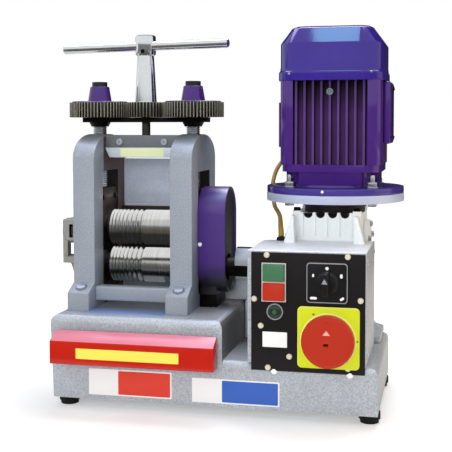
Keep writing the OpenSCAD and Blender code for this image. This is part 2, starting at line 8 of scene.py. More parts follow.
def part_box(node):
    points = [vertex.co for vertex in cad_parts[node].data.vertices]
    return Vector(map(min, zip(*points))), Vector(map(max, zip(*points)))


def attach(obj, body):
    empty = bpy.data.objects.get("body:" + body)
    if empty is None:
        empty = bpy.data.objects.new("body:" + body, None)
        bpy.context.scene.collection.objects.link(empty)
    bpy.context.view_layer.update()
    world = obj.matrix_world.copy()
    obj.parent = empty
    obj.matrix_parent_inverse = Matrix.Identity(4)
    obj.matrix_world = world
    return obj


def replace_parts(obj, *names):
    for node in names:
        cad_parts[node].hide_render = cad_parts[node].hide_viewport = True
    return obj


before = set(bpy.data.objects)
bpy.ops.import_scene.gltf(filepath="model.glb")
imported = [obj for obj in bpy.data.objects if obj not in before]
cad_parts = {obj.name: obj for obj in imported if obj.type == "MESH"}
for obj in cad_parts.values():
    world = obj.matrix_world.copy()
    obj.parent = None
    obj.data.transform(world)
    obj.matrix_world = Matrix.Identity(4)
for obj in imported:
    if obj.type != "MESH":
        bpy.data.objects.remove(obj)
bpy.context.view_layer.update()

MM = 0.001
WELD = 1e-6
UP, DOWN, FRONT, BACK = (0, 0, 1), (0, 0, -1), (0, -1, 0), (0, 1, 0)
LEFT, RIGHT = (-1, 0, 0), (1, 0, 0)


# ---------- camera ----------
CAMERA_AT = (0.30314, -1.3575, 0.39248)
YAW, PITCH, ROLL = (radians(a) for a in (12.764, 3.026, -0.07))
SENSOR_WIDTH, FOCAL_LENGTH, LENS_RISE = 36, 76.54, -0.1106


def linked(name, data):
    """A new object in the scene with the data."""
    thing = bpy.data.objects.new(name, data)
    bpy.context.scene.collection.objects.link(thing)
    return thing


def make_camera():
    data = bpy.data.cameras.new("studio_camera")
    data.sensor_width = SENSOR_WIDTH
    data.lens = FOCAL_LENGTH
    data.shift_y = LENS_RISE
    camera = linked("studio_camera", data)
    aim = Vector((-sin(YAW) * cos(PITCH), cos(YAW) * cos(PITCH), -sin(PITCH)))
    camera.location = CAMERA_AT
    camera.rotation_euler = (aim.to_track_quat("-Z", "Y") @ Quaternion((0, 0, 1), ROLL)).to_euler()
    bpy.context.scene.camera = camera


make_camera()


# ---------- modelling tools ----------
def rest():
    """Object mode with nothing selected."""
    if bpy.context.object and bpy.context.object.mode != "OBJECT":
        bpy.ops.object.mode_set(mode="OBJECT")
    bpy.ops.object.select_all(action="DESELECT")


def take(piece):
    """Makes the piece the only one selected, and active."""
    rest()
    bpy.context.view_layer.objects.active = piece
    piece.select_set(True)


def box(node):
    """Lowest and highest corner of a CAD node, in millimetres."""
    low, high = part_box(node)
    return low / MM, high / MM


def fresh(name):
    """Names the primitive just added and applies its place and size."""
    piece = bpy.context.object
    piece.name = name
    bpy.ops.object.transform_apply()
    return piece


def block(name, low, high):
    """A cuboid between two corners given in millimetres."""
    rest()
    low, high = Vector(low) * MM, Vector(high) * MM
    bpy.ops.mesh.primitive_cube_add(size=1, location=(low + high) / 2, scale=high - low)
    return fresh(name)


def place(piece, at, along, turn=0):
    """Puts a piece made round the Z axis at a point (mm) with its Z axis along a direction."""
    aim = Vector(along).to_track_quat("Z", "Y").to_matrix().to_4x4()
    piece.data.transform(Matrix.Translation(Vector(at) * MM) @ aim
                         @ Matrix.Rotation(radians(turn), 4, "Z"))
    return piece


def prism(name, sides, radius, height, at=(0, 0, 0), along=UP):
    """A cylinder or a hexagon bar that starts at a point (mm) and runs along a direction."""
    rest()
    bpy.ops.mesh.primitive_cylinder_add(vertices=sides, radius=radius * MM, depth=height * MM,
                                        location=(0, 0, height * MM / 2))
    return place(fresh(name), at, along)


def editing(kind, action="DESELECT"):
    """Edit mode for vertices, edges or faces, with none of them or all selected."""
    bpy.ops.object.mode_set(mode="EDIT")
    bpy.ops.mesh.select_mode(type=kind)
    bpy.ops.mesh.select_all(action=action)


def dot(name):
    """A piece of one vertex on the origin, in edit mode, with the vertex selected."""
    rest()
    bpy.ops.mesh.primitive_plane_add(size=MM)
    piece = fresh(name)
    editing("VERT", "SELECT")
    bpy.ops.mesh.merge(type="CENTER")
    return piece


def spun(steps, turns, angle):
    """Draws the dot out through the points, one by one (m), and spins the line round Z."""
    bpy.ops.transform.translate(value=steps[0])
    for here, after in zip(steps, steps[1:]):
        bpy.ops.mesh.extrude_region_move(TRANSFORM_OT_translate={"value": after - here})
    bpy.ops.mesh.select_all(action="SELECT")
    bpy.ops.mesh.spin(steps=turns, angle=angle, center=(0, 0, 0), axis=(0, 0, 1))


def turned(name, outline, at=(0, 0, 0), along=UP, sides=48):
    """A lathe-turned piece: (radius, height) points in mm, spun all the way round."""
    piece = dot(name)
    spun([Vector((r, 0, h)) * MM for r, h in outline], sides, 2 * pi)
    bpy.ops.mesh.select_all(action="SELECT")
    bpy.ops.mesh.remove_doubles(threshold=WELD)
    bpy.ops.mesh.normals_make_consistent(inside=False)
    rest()
    return place(piece, at, along)


def pick(piece, kind, parts, test):
    """Edit mode with just those edges or polygons of the piece selected that pass the test."""
    take(piece)
    editing(kind)
    bpy.ops.object.mode_set(mode="OBJECT")
    for part in getattr(piece.data, parts):
        part.select = bool(test(part))
    bpy.ops.object.mode_set(mode="EDIT")


def edited(piece, test, operator, **settings):
    """Runs an edit-mode operator on the faces whose middle (mm) and normal pass the test."""
    pick(piece, "FACE", "polygons", lambda face: test(face.center / MM, face.normal))
    operator(**settings)
    rest()
    return piece


def split(piece, point, normal, **settings):
    """Draws an edge loop where a plane through a point (mm) crosses the piece."""
    return edited(piece, lambda c, n: True, bpy.ops.mesh.bisect,
                  plane_co=tuple(v * MM for v in point), plane_no=normal, **settings)


def applied(piece, kind, **settings):
    """Adds a modifier with its settings and applies it."""
    take(piece)
    modifier = piece.modifiers.new(kind.lower(), kind)
    for key, value in settings.items():
        setattr(modifier, key, value)
    bpy.ops.object.modifier_apply(modifier=modifier.name)
    return piece


def bevelled(piece, width, segments=2, angle=35):
    """Rounds every edge sharper than the angle by a width in mm."""
    return applied(piece, "BEVEL", width=width * MM, segments=segments, limit_method="ANGLE",
                   angle_limit=radians(angle), use_clamp_overlap=True)


def cut(piece, *cutters):
    """Takes the cutters' shapes out of the piece."""
    for cutter in cutters:
        applied(piece, "BOOLEAN", object=cutter, operation="DIFFERENCE", solver="EXACT")
        bpy.data.objects.remove(cutter)
    return piece


def joined(name, *pieces):
    """Joins pieces into one with that name."""
    rest()
    for piece in pieces:
        piece.select_set(True)
    bpy.context.view_layer.objects.active = pieces[0]
    bpy.ops.object.join()
    pieces[0].name = name
    return pieces[0]


def copied(piece, at, along=UP, turn=0):
    """A copy with its own mesh of a piece made at the origin, put at a point (mm)."""
    return place(linked(piece.name, piece.data.copy()), at, along, turn)


def repeated(name, piece, spots, along=UP, turn=0):
    """Copies a piece made at the origin to every spot and joins the copies."""
    copies = [copied(piece, spot, along, turn) for spot in spots]
    bpy.data.objects.remove(piece)
    return joined(name, *copies)


def tube(name, spots, depth, roundness, steps, radii=None):
    """A round curve through the spots (mm). The radii, one for each spot, widen its depth."""
    data = bpy.data.curves.new(name, "CURVE")
    data.dimensions = "3D"
    data.bevel_depth = depth * MM
    data.bevel_resolution = roundness
    data.resolution_u = steps
    data.use_fill_caps = True
    line = data.splines.new("BEZIER")
    line.bezier_points.add(len(spots) - 1)
    for point, spot, radius in zip(line.bezier_points, spots, radii or [1.0] * len(spots)):
        point.co = Vector(spot) * MM
        point.handle_left_type = point.handle_right_type = "AUTO"
        point.radius = radius
    return linked(name, data)


def rounded_plate(name, low, high, radius, edge, axis=1):
    """A plate whose corners round a given axis have a radius, and whose rims are eased."""
    piece = block(name, low, high)
    spots = piece.data.vertices

    def along_axis(line):
        run = spots[line.vertices[1]].co - spots[line.vertices[0]].co
        return abs(run[axis]) > 0.9 * run.length

    pick(piece, "EDGE", "edges", along_axis)
    bpy.ops.mesh.bevel(offset=radius * MM, offset_type="OFFSET", segments=6, affect="EDGES")
    rest()
    return bevelled(piece, edge, 2, 50)


def domed_screw(name, radius, height, slot=0.0):
    """A round-head screw on the origin, with a slot of the given width."""
    piece = turned(name, [(0, 0), (radius, 0), (radius, height * 0.35),
                          (radius * 0.86, height * 0.72), (radius * 0.55, height * 0.94),
                          (0, height)], sides=20)
    if slot:
        cut(piece, block("slot", (-radius * 1.2, -slot / 2, height * 0.55),
                         (radius * 1.2, slot / 2, height * 1.5)))
    return piece


def cap_screw(name, radius, height, socket=0.5):
    """A socket-head screw on the origin."""
    return turned(name, [(0, height * 0.45), (radius * socket, height * 0.45),
                         (radius * socket, height), (radius * 0.9, height),
                         (radius, height * 0.88), (radius, 0), (0, 0)], sides=24)


def hex_bolt(name, radius, height, washer=1.2):
    """A hexagon head on its washer, on the origin. The radius is to the corners."""
    head = bevelled(prism("head", 6, radius, height, (0, 0, washer)), height * 0.14, 2, 50)
    return joined(name, head, bevelled(prism("washer", 24, radius * 1.2, washer), 0.2))


def softened(node, width, segments=2, angle=35):
    """A bevelled copy of a CAD node that stands for it."""
    piece = linked(node + "_finished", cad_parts[node].data.copy())
    take(piece)
    bpy.ops.object.mode_set(mode="EDIT")
    bpy.ops.mesh.select_all(action="SELECT")
    bpy.ops.mesh.remove_doubles(threshold=WELD)
    bpy.ops.mesh.dissolve_limited(angle_limit=radians(0.4))
    rest()
    if width:
        bevelled(piece, width, segments, angle)
    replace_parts(piece, node)
    return piece


def finished(piece, material, body="machine", slot=None, smooth=32):
    """Gives a piece its material, smooth shading up to an angle, and its body. Its slot is not
    used.
    """
    piece.data.materials.clear()
    piece.data.materials.append(material)
    take(piece)
    bpy.ops.object.shade_smooth_by_angle(angle=radians(smooth))
    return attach(piece, body)


def fitted(name, piece, spots, along, material, turn=0):
    """Copies of a piece made at the origin on every spot, joined and finished."""
    return finished(repeated(name, piece, spots, along, turn), material)


def plate(name, low, high, radius, edge, material, body="machine"):
    """A finished rounded plate."""
    return finished(rounded_plate(name, low, high, radius, edge), material, body)


def painted(piece, material, test):
    """A second material on the faces whose middle (mm) and normal pass the test."""
    piece.data.materials.append(material)
    for face in piece.data.polygons:
        if test(face.center / MM, face.normal):
            face.material_index = len(piece.data.materials) - 1
    return piece


# ---------- material tools ----------
def colour(code):
    """sRGB hex to linear."""
    parts = [int(code[i:i + 2], 16) / 255 for i in (1, 3, 5)]
    return tuple(c / 12.92 if c <= 0.04045 else ((c + 0.055) / 1.055) ** 2.4
                 for c in parts) + (1.0,)


def add(material, kind, inputs=None, **settings):
    """Adds a shader node. Its inputs are values, or outputs of other nodes to link."""
    made = material.node_tree.nodes.new("ShaderNode" + kind)
    for key, value in settings.items():
        setattr(made, key, value)
    for key, value in (inputs or {}).items():
        if isinstance(value, bpy.types.NodeSocket):
            material.node_tree.links.new(value, made.inputs[key])
        else:
            made.inputs[key].default_value = value
    return made


def started(name):
    """An empty node material and its Object coordinates."""
    material = bpy.data.materials.new(name)
    material.use_nodes = True
    material.node_tree.nodes.clear()
    return material, add(material, "TexCoord").outputs["Object"]


def ended(material, shader):
    add(material, "OutputMaterial", {"Surface": shader.outputs[0]})
    return material


def noise(material, here, scale, detail=2.0, rough=0.5):
    return add(material, "TexNoise", {"Vector": here, "Scale": scale, "Detail": detail,
                                      "Roughness": rough}).outputs["Fac"]


def ranged(material, value, low, high, start=0.0, end=1.0, **settings):
    """The value's run from start to end becomes a run from low to high."""
    return add(material, "MapRange", {"Value": value, "From Min": start, "From Max": end,
                                      "To Min": low, "To Max": high}, **settings).outputs[0]


def mixed(material, factor, first, second, kind="MIX"):
    return add(material, "Mix", {0: factor, 6: first, 7: second}, data_type="RGBA",
               blend_type=kind).outputs[2]


def covered(material, tone, rough, height, strength, distance, more):
    """The Principled shader over a bump, with more inputs by name."""
    bump = add(material, "Bump", {"Height": height, "Strength": strength, "Distance": distance})
    inputs = {"Base Color": tone, "Roughness": rough, "Normal": bump.outputs[0]}
    inputs.update(more)
    return ended(material, add(material, "BsdfPrincipled", inputs))


# Tones of painted shade: one pools round a point on the base, one darkens enamel by height.
PLATFORM_SHADE_TONE, ENAMEL_SHADE_TONE = "#5A5254", "#120C12"


def hammered_enamel(name, dark, light, shade_at=None):
    """Hammer-finish stoving enamel on cast iron. Sprayed aluminium flake pulls into cells about
    2 mm across, so the grey is softly mottled and each cell is a shallow dimple. Painted shade
    darkens it round a given point in metres and fades out 9 cm away."""
    m, here = started(name)
    cell = add(m, "TexVoronoi", {"Vector": here, "Scale": 480.0},
               feature="SMOOTH_F1").outputs["Distance"]
    patch = noise(m, here, 22.0)
    mottle = ranged(m, noise(m, here, 520.0, 3.0, 0.6), 0.0, 1.0, 0.3, 0.7)
    tint = mixed(m, mottle, colour(dark), colour(light))
    tint = mixed(m, 1.0, tint, ranged(m, patch, 0.95, 1.03, 0.3, 0.7), "MULTIPLY")
    if shade_at:
        away = add(m, "VectorMath", {0: here, 1: shade_at}, operation="DISTANCE")
        ragged = add(m, "Math", {0: patch, 1: 0.03, 2: away.outputs["Value"]},
                     operation="MULTIPLY_ADD")
        unshaded = ranged(m, ragged.outputs[0], 0.0, 1.0, 0.04, 0.105, interpolation_type="SMOOTHSTEP")
        tint = mixed(m, unshaded, colour(PLATFORM_SHADE_TONE), tint)
    return covered(m, tint, ranged(m, cell, 0.36, 0.55, 0.0, 0.6), cell, 0.2, 0.0004, {
        "Metallic": 0.2, "IOR": 1.5, "Coat Weight": 0.1, "Coat Roughness": 0.25})


def gloss_enamel(name, code, shade, rough, level, shade_heights=None):
    """Sprayed gloss enamel. It flows out to a wet shine with a faint orange peel, 4 mm from
    crest to crest, and lies a little thinner and darker in places. Painted shade, given by two
    heights in metres, blackens the paint at the first and is gone at the second."""
    m, here = started(name)
    tone = mixed(m, noise(m, here, 30.0, 3.0), colour(shade), colour(code))
    if shade_heights:
        height = add(m, "SeparateXYZ", {0: here}).outputs["Z"]
        unshaded = ranged(m, height, 0.0, 1.0, shade_heights[0], shade_heights[1], interpolation_type="SMOOTHSTEP")
        tone = mixed(m, unshaded, colour(ENAMEL_SHADE_TONE), tone)
    return covered(m, tone, rough, noise(m, here, 250.0, 1.0), 0.08, 0.0004,
                   {"IOR": 1.5, "Specular IOR Level": level})


def moulded_plastic(name, code, rough, grain=1400.0, relief=0.1, level=0.4):
    """Injection-moulded plastic. The spark-eroded mould leaves a fine even grain under a soft
    sheen, drawn at 0.7 mm so that it shows."""
    m, here = started(name)
    pits = noise(m, here, grain)
    tone = mixed(m, 1.0, colour(code), ranged(m, pits, 0.9, 1.08), "MULTIPLY")
    return covered(m, tone, ranged(m, pits, rough - 0.05, rough + 0.08), pits, relief, 0.0002,
                   {"IOR": 1.53, "Specular IOR Level": level})


def bare_metal(name, code, shade, rough, grain, stretch=(1, 1, 1), relief=0.1, metallic=1.0):
    """Bare metal with its working marks: a noise in millimetres, stretched along the way the
    tool ran, tints it and roughens it a little."""
    m, here = started(name)
    run = add(m, "Mapping", {"Vector": here, "Scale": stretch}).outputs[0]
    marks = noise(m, run, grain, 4.0, 0.6)
    return covered(m, mixed(m, marks, colour(shade), colour(code)),
                   ranged(m, marks, rough * 0.8, rough * 1.3), marks, relief, 0.0002,
                   {"Metallic": metallic})


def printed_vinyl(name, code):
    """Self-adhesive vinyl: a flat printed ground under a satin film that ripples slightly."""
    m, here = started(name)
    fade = ranged(m, noise(m, here, 900.0), 0.93, 1.0)
    tone = mixed(m, 1.0, colour(code), fade, "MULTIPLY")
    return covered(m, tone, 0.4, noise(m, here, 90.0), 0.1, 0.0003,
                   {"IOR": 1.5, "Specular IOR Level": 0.35})


BASE_PAINT = hammered_enamel("hammered_enamel_light", "#989EA5", "#C6CBD1")
# Painted shade round a point on the platform, behind and under the gear guard.
SHADE_PATCH_PAINT = hammered_enamel("hammered_enamel_painted_shade_patch", "#989EA5", "#C6CBD1",
                                (0.022, 0.03, 0.1))
RISER_SHADE_PAINT = hammered_enamel("hammered_enamel_painted_shade_riser", "#62605F", "#7B797A")
LIT_LID_PAINT = hammered_enamel("hammered_enamel_painted_light_lid", "#E2E6EC", "#F6F8FB")
FRAME_PAINT = hammered_enamel("hammered_enamel_grey", "#8B929C", "#A3AAB4")
PLATE_PAINT = hammered_enamel("hammered_enamel_rear_plate", "#AEB7C6", "#C2CAD8")
PURPLE = gloss_enamel("purple_gloss_enamel", "#48257A", "#3C1E6C", 0.09, 0.45)
# Painted shade: the guard's enamel goes black from 204 mm down to 163 mm.
GUARD_PURPLE = gloss_enamel("purple_guard_enamel", "#46257C", "#3A1E6C", 0.36, 0.9, (0.163, 0.204))
# Painted reflection: the cowl's enamel is bluer than the body's, standing in for the sky it
# mirrors.
COWL_PURPLE = gloss_enamel("violet_cowl_enamel_painted_sky_tint", "#352088", "#2B1A78", 0.1, 0.45)
FLANGE_PURPLE = gloss_enamel("violet_flange_enamel", "#493A8C", "#3A2E7C", 0.15, 0.45)
# Painted shade: a dark purple for the gaps between fins and the air-hole floors, darker still near
# the cowl.
SLOT_SHADE_PURPLE = gloss_enamel("purple_painted_shade_in_slots", "#52346A", "#3A2248", 0.6, 0.2,
                           (0.458, 0.4))
# Fin crests: a paler, rougher purple, darker towards the top as painted shade.
FIN_PURPLE = gloss_enamel("purple_fin_crests_painted_shade_at_top", "#5A3C7C", "#482E6A", 0.5, 0.3, (0.49, 0.4))
RED_PAINTED_SHEEN = gloss_enamel("red_enamel_painted_sheen_slope", "#E08294", "#D8788C", 0.3, 0.5)
RED_PAINT = gloss_enamel("red_gloss_enamel", "#C2200F", "#AE180C", 0.12, 0.5)
ROLL_STEEL = bare_metal("ground_hardened_steel", "#D2D2D1", "#A3A29F", 0.24, 900,
                        (1, 0.02, 0.02), 0.15)
CHROME = bare_metal("chromium_plated_steel", "#E4E7E9", "#CDD0D2", 0.12, 120, relief=0.02)
ZINC = bare_metal("bright_zinc_plate", "#E2E4E8", "#BFC3C9", 0.28, 700)
# Blackened steel, and also painted shade on the guard's stand and the coupling cover's lower half.
BLACK_STEEL_AND_SHADE = bare_metal("blackened_steel", "#2E2C28", "#191816", 0.42, 300)
TIE_STEEL = bare_metal("phosphated_steel", "#8C9196", "#73777A", 0.5, 260, metallic=0.6)
# Dark iron parts, and painted shade in the gearbox neck and scoops, the guard's end, the housings,
# the coupling top and the dial's recess.
DARK_IRON_AND_SHADE = bare_metal("dark_iron_and_painted_shade", "#2B2420", "#171311", 0.55, 180, metallic=0.4)
WORN_STEEL = bare_metal("worn_tooth_steel", "#D2D0C2", "#9E9B88", 0.42, 500)
GEAR_STEEL = bare_metal("oiled_gear_steel", "#6C6A61", "#45433C", 0.42, 300)
FLANGE_ALLOY = bare_metal("turned_flange_alloy", "#C8D0E8", "#B6BED8", 0.45, 450, metallic=0.3)
PALE_ZINC_AND_LIGHT = bare_metal("bright_zinc_and_painted_light", "#BCC2CA", "#9AA0AA", 0.4, 120, metallic=0.4)
OILY_CASTING = bare_metal("oily_bare_casting", "#A8A6A2", "#827E78", 0.55, 160, relief=0.3,
                          metallic=0.2)
# Brown iron, used as painted shade inside the housings and in the bracket's slot.
BROWN_IRON_SHADE = bare_metal("brown_iron_painted_shade", "#5E4C4A", "#463532", 0.6, 90, metallic=0.2)
# Oiled bronze, darkened as painted shade for the chocks inside the windows.
SHADED_BRONZE = bare_metal("oiled_bronze_painted_shade", "#5A4838", "#2E2219", 0.4, 160)
CAST_ALLOY = bare_metal("sand_cast_aluminium", "#F7FAFB", "#DFE4E6", 0.5, 450, relief=0.35,
                        metallic=0.15)
ALLOY_STRIP = bare_metal("brushed_alloy_strip", "#DCE4EA", "#BAC2CA", 0.35, 900, (0.03, 1, 1),
                         metallic=0.3)
BLACK_NYLON = moulded_plastic("black_glass_nylon", "#141416", 0.42, level=0.3)
RUBBER = moulded_plastic("black_rubber", "#171717", 0.7, 700, 0.3, 0.25)
PANEL_BLACK = moulded_plastic("black_panel_lacquer", "#1C1A1A", 0.38, 900, 0.06, 0.15)
GREY_PLASTIC = moulded_plastic("mid_grey_plastic", "#8D8D92", 0.4)
PALE_PLASTIC = moulded_plastic("pale_grey_plastic_and_painted_light", "#CFCEC8", 0.4)
CREAM_PLASTIC = moulded_plastic("cream_nylon_cap", "#D2CBB4", 0.35)
WHITE_PLASTIC = moulded_plastic("white_nylon", "#F0EFEA", 0.35)
PINK_PLASTIC = moulded_plastic("pink_white_plastic", "#E8A69A", 0.35)
GREEN_PLASTIC = moulded_plastic("green_push_button", "#3E704E", 0.32)
LENS_GREEN = moulded_plastic("dark_green_lens", "#1E2E26", 0.16, 500, 0.05, 0.5)
LENS_PALE = moulded_plastic("pale_green_lens", "#3A5A40", 0.2, 500, 0.05, 0.5)
RED_PLASTIC = moulded_plastic("red_polycarbonate", "#B2280E", 0.32)
DEEP_RED_PLASTIC = moulded_plastic("deep_red_polycarbonate", "#A52312", 0.35)
YELLOW_PLASTIC = moulded_plastic("yellow_polycarbonate", "#CAD412", 0.34)
CREAM_YELLOW = moulded_plastic("cream_yellow_ring_and_painted_light", "#E9E27A", 0.34)
OLIVE_PLASTIC = moulded_plastic("olive_mark", "#7A7A22", 0.4)
CABLE_PVC = moulded_plastic("ochre_pvc_jacket", "#94762A", 0.45)
WHITE_VINYL = printed_vinyl("white_vinyl", "#EDEDEB")
RED_VINYL = printed_vinyl("red_vinyl", "#D8402F")
BLUE_VINYL = printed_vinyl("blue_vinyl", "#3B62B8")
PALE_BLUE_VINYL = printed_vinyl("pale_blue_vinyl", "#8FA4D8")
YELLOW_VINYL = printed_vinyl("yellow_vinyl", "#EEDF58")
PALE_YELLOW_VINYL = printed_vinyl("pale_yellow_vinyl", "#D6DEB0")


# ---------- motor cable ----------
CABLE_ROUTE = [
    (92, 133, 350), (83, 133, 350), (74, 132, 348), (65, 129, 343), (57, 124, 335),
    (51, 117, 325), (48, 109, 314), (47, 101, 303), (48, 94, 292), (50, 87, 281), (53, 78, 273),
    (57, 67, 268), (62, 54, 265), (66, 41, 263), (70, 28, 260), (73, 16, 255), (75, 6, 248),
    (77, -2, 241), (78, -6, 233)]
CABLE_R = 3.2


def make_cable():
    """The motor's lead, which hangs from its gland to the one on the control box."""
    lead = tube("motor_lead", CABLE_ROUTE, CABLE_R, 4, 4)
    lead.data.materials.append(CABLE_PVC)
    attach(lead, "machine")
    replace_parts(lead, "motor_cable")


make_cable()


# ---------- places taken from the frame, in millimetres ----------
def centre(node):
    low, high = box(node)
    return (low + high) / 2


FLANGE_LOW, FLANGE_HIGH = box("motor_flange")
MOTOR_X, MOTOR_Y = centre("motor_flange")[:2]
STATOR_TOP = box("fan_cowl")[0].z
MOTOR_HALF = box("motor_body")[1].x - MOTOR_X
MILL_X, MILL_Y = centre("handle_pinion")[:2]
LEFT_X, RIGHT_X = centre("left_housing").x, centre("right_housing").x
HOUSE_LOW, HOUSE_HIGH = box("left_housing")
INNER_LEFT, INNER_RIGHT = HOUSE_HIGH.x, box("right_housing")[0].x
PLATFORM_Z = HOUSE_LOW.z
LOWER_Z, UPPER_Z = centre("lower_roll").z, centre("upper_roll").z
GEAR_LOW, GEAR_HIGH = box("handle_pinion")
PANEL_LOW = box("front_panel")[0]
BASE_FRONT = box("base_casting")[0].y


def from_axis(c, x, y):
    """Distance of a point from an upright axis."""
    return hypot(c.x - x, c.y - y)


def circle(radius, count, start):
    """Pairs spaced evenly round a circle, from a bearing in degrees."""
    turns = [radians(start + 360 / count * i) for i in range(count)]
    return [(radius * cos(t), radius * sin(t)) for t in turns]


def grid(xs, ys, zs):
    """Every point with one of these x, y and z."""
    return [(x, y, z) for x in xs for y in ys for z in zs]


# ---------- CAD nodes with softened edges ----------
# By body: node, width of its edges in mm, material, and a slot that is not the material's own.
SOFTENED = {
    "machine": [
        ("base_casting", 2.5, SHADE_PATCH_PAINT),
        ("gearbox_pedestal", 2.0, BASE_PAINT),
        ("left_housing", 3.0, FRAME_PAINT),
        ("right_housing", 3.0, FRAME_PAINT),
        ("rear_plate", 1.0, PLATE_PAINT),
        ("lower_ties", 2.5, FRAME_PAINT),
        ("side_bracket", 1.5, OILY_CASTING),
        ("control_box", 2.5, BASE_PAINT, "hammertone_housing"),
        ("rubber_feet", 1.0, RUBBER),
        ("top_tie", 1.0, TIE_STEEL),
        ("name_strip", 0.8, ALLOY_STRIP),
        ("lower_chocks", 1.0, SHADED_BRONZE),
        ("gear_guard", 2.0, GUARD_PURPLE),
        ("motor_flange", 1.0, FLANGE_PURPLE),
        ("motor_body", 0.7, PURPLE),
        ("terminal_box", 2.5, PURPLE),
        ("coupling_cover", 0.5, BLACK_STEEL_AND_SHADE, "dark_zinc_sheet"),
        ("gearbox_body", 1.5, CAST_ALLOY),
        ("gearbox_covers", 1.5, CAST_ALLOY),
        ("input_flange", 1.2, CAST_ALLOY),
        ("front_panel", 1.0, PANEL_BLACK),
        ("button_bezel", 0.5, PALE_PLASTIC),
    ],
    "screwdown": [("carrier_bar", 1.0, BLACK_STEEL_AND_SHADE), ("upper_chocks", 1.0, SHADED_BRONZE)],
    "lower_roll_body": [("lower_roll", 0.3, ROLL_STEEL), ("lower_roll_gear", 0.3, GEAR_STEEL)],
    "upper_roll_body": [("upper_roll", 0.3, ROLL_STEEL), ("upper_roll_gear", 0.3, GEAR_STEEL)],
    "handle": [("handle_pinion", 0.3, GEAR_STEEL)],
    "left_screw_body": [("left_cap", 1.5, PURPLE)],
    "right_screw_body": [("right_cap", 1.5, PURPLE)],
    "start_button": [("green_button", 1.0, GREEN_PLASTIC)],
    "stop_button": [("red_button", 1.0, RED_PLASTIC)],
    "stop_bar": [("emergency_bar", 1.2, RED_PAINT)],
}
made = {}
for body_name, rows in SOFTENED.items():
    for node_name, edge, coat, *slot_name in rows:
        made[node_name] = finished(softened(node_name, edge), coat, body_name, *slot_name)


# ---------- motor ----------
def make_fan_cowl():
    """The pressed fan cowl: round shoulders, a rim, and rows of air holes in the crown."""
    cowl = softened("fan_cowl", 5.0, segments=4, angle=20)
    floor = box("fan_cowl")[1].z - 5
    pitch, reach, rows = 10.5, 41, 4
    spots = [Vector((MOTOR_X + pitch * (i + (j % 2) / 2), MOTOR_Y + pitch * 0.866 * j, floor))
             for i in range(-rows, rows + 1) for j in range(-rows, rows + 1)]
    spots = [p for p in spots if from_axis(p, MOTOR_X, MOTOR_Y) < reach]
    cut(cowl, repeated("holes", prism("hole", 16, 3.2, 12), spots))
    finished(cowl, COWL_PURPLE)
    # Painted shade on the floors of the air holes.
    painted(cowl, SLOT_SHADE_PURPLE, lambda c, n: abs(c.z - floor) < 0.1)


def paint_motor():
    """Painted shade darkens the gaps between the fins, the crests are a paler purple, and the
    rating-plate pad is dark.
    """
    fin_run = 118.5
    body, fin, slot_low = made["motor_body"], MOTOR_HALF - 0.9, STATOR_TOP - fin_run

    def reach(c):
        """Distances from the motor's axis, across the nearest side and out to it."""
        return sorted((abs(c.x - MOTOR_X), abs(c.y - MOTOR_Y)))

    painted(body, SLOT_SHADE_PURPLE, lambda c, n: 55 < reach(c)[1] < fin and reach(c)[0] < 53
            and c.z > slot_low)
    painted(body, FIN_PURPLE, lambda c, n: reach(c)[1] >= fin and reach(c)[0] < 50
            and c.z > slot_low)
    painted(body, DARK_IRON_AND_SHADE, lambda c, n: c.x < MOTOR_X - MOTOR_HALF - 1 and c.z > slot_low + 20)


def make_studs():
    """Four zinc-plated studs with nuts and washers hold the motor to the flange."""
    stud = joined("stud", bevelled(prism("shaft", 16, 4, 18), 0.8),
                  bevelled(prism("nut", 6, 7.6, 6.5, (0, 0, 1.6)), 0.8, 2, 50),
                  bevelled(prism("washer", 24, 9, 1.6), 0.3))
    bolt_ring = 82.5
    for name, piece, z, way in (
            ("flange_studs", stud, FLANGE_HIGH.z - 3.5, UP),
            ("flange_bolt_heads", hex_bolt("head", 7, 3.6), box("input_flange")[1].z - 12, DOWN)):
        spots = [(MOTOR_X + dx, MOTOR_Y + dy, z) for dx, dy in circle(bolt_ring, 4, 45)]
        fitted(name, piece, spots, way, ZINC)


def make_motor_screws():
    """Small round-head screws on the cowl rim and the flange edge."""
    y, rim_z, side = box("fan_cowl")[0].y + 2.2, STATOR_TOP + 9, 57
    front = [(MOTOR_X - side, y, rim_z), (MOTOR_X + side, y, rim_z + 2)]
    back = [(x, 2 * MOTOR_Y - y, z) for x, y, z in front]
    rows = [repeated("row", domed_screw("screw", 1.9, 1.6, 0.5), spots, way)
            for spots, way in ((front, FRONT), (back, BACK))]
    finished(joined("cowl_screws", *rows), ZINC)
    edge = (MOTOR_X - 6.6, FLANGE_LOW.y + 0.1, 300.8)
    finished(place(domed_screw("flange_screw", 2.1, 1.8), edge, FRONT), WHITE_PLASTIC)


def make_lifting_ring():
    """A small steel ring in a lug between the front fins."""
    rest()
    ring_r, wire_r = 3.7, 1.3
    bpy.ops.mesh.primitive_torus_add(major_radius=ring_r * MM, minor_radius=wire_r * MM,
                                     major_segments=28, minor_segments=10)
    ring = joined("earth_ring", bpy.context.object,
                  bevelled(prism("lug", 20, 2.6, 6, (0, 0, -6)), 0.4))
    place(ring, (MOTOR_X, MOTOR_Y - MOTOR_HALF - 0.6, STATOR_TOP - 16), FRONT)
    finished(ring, TIE_STEEL)


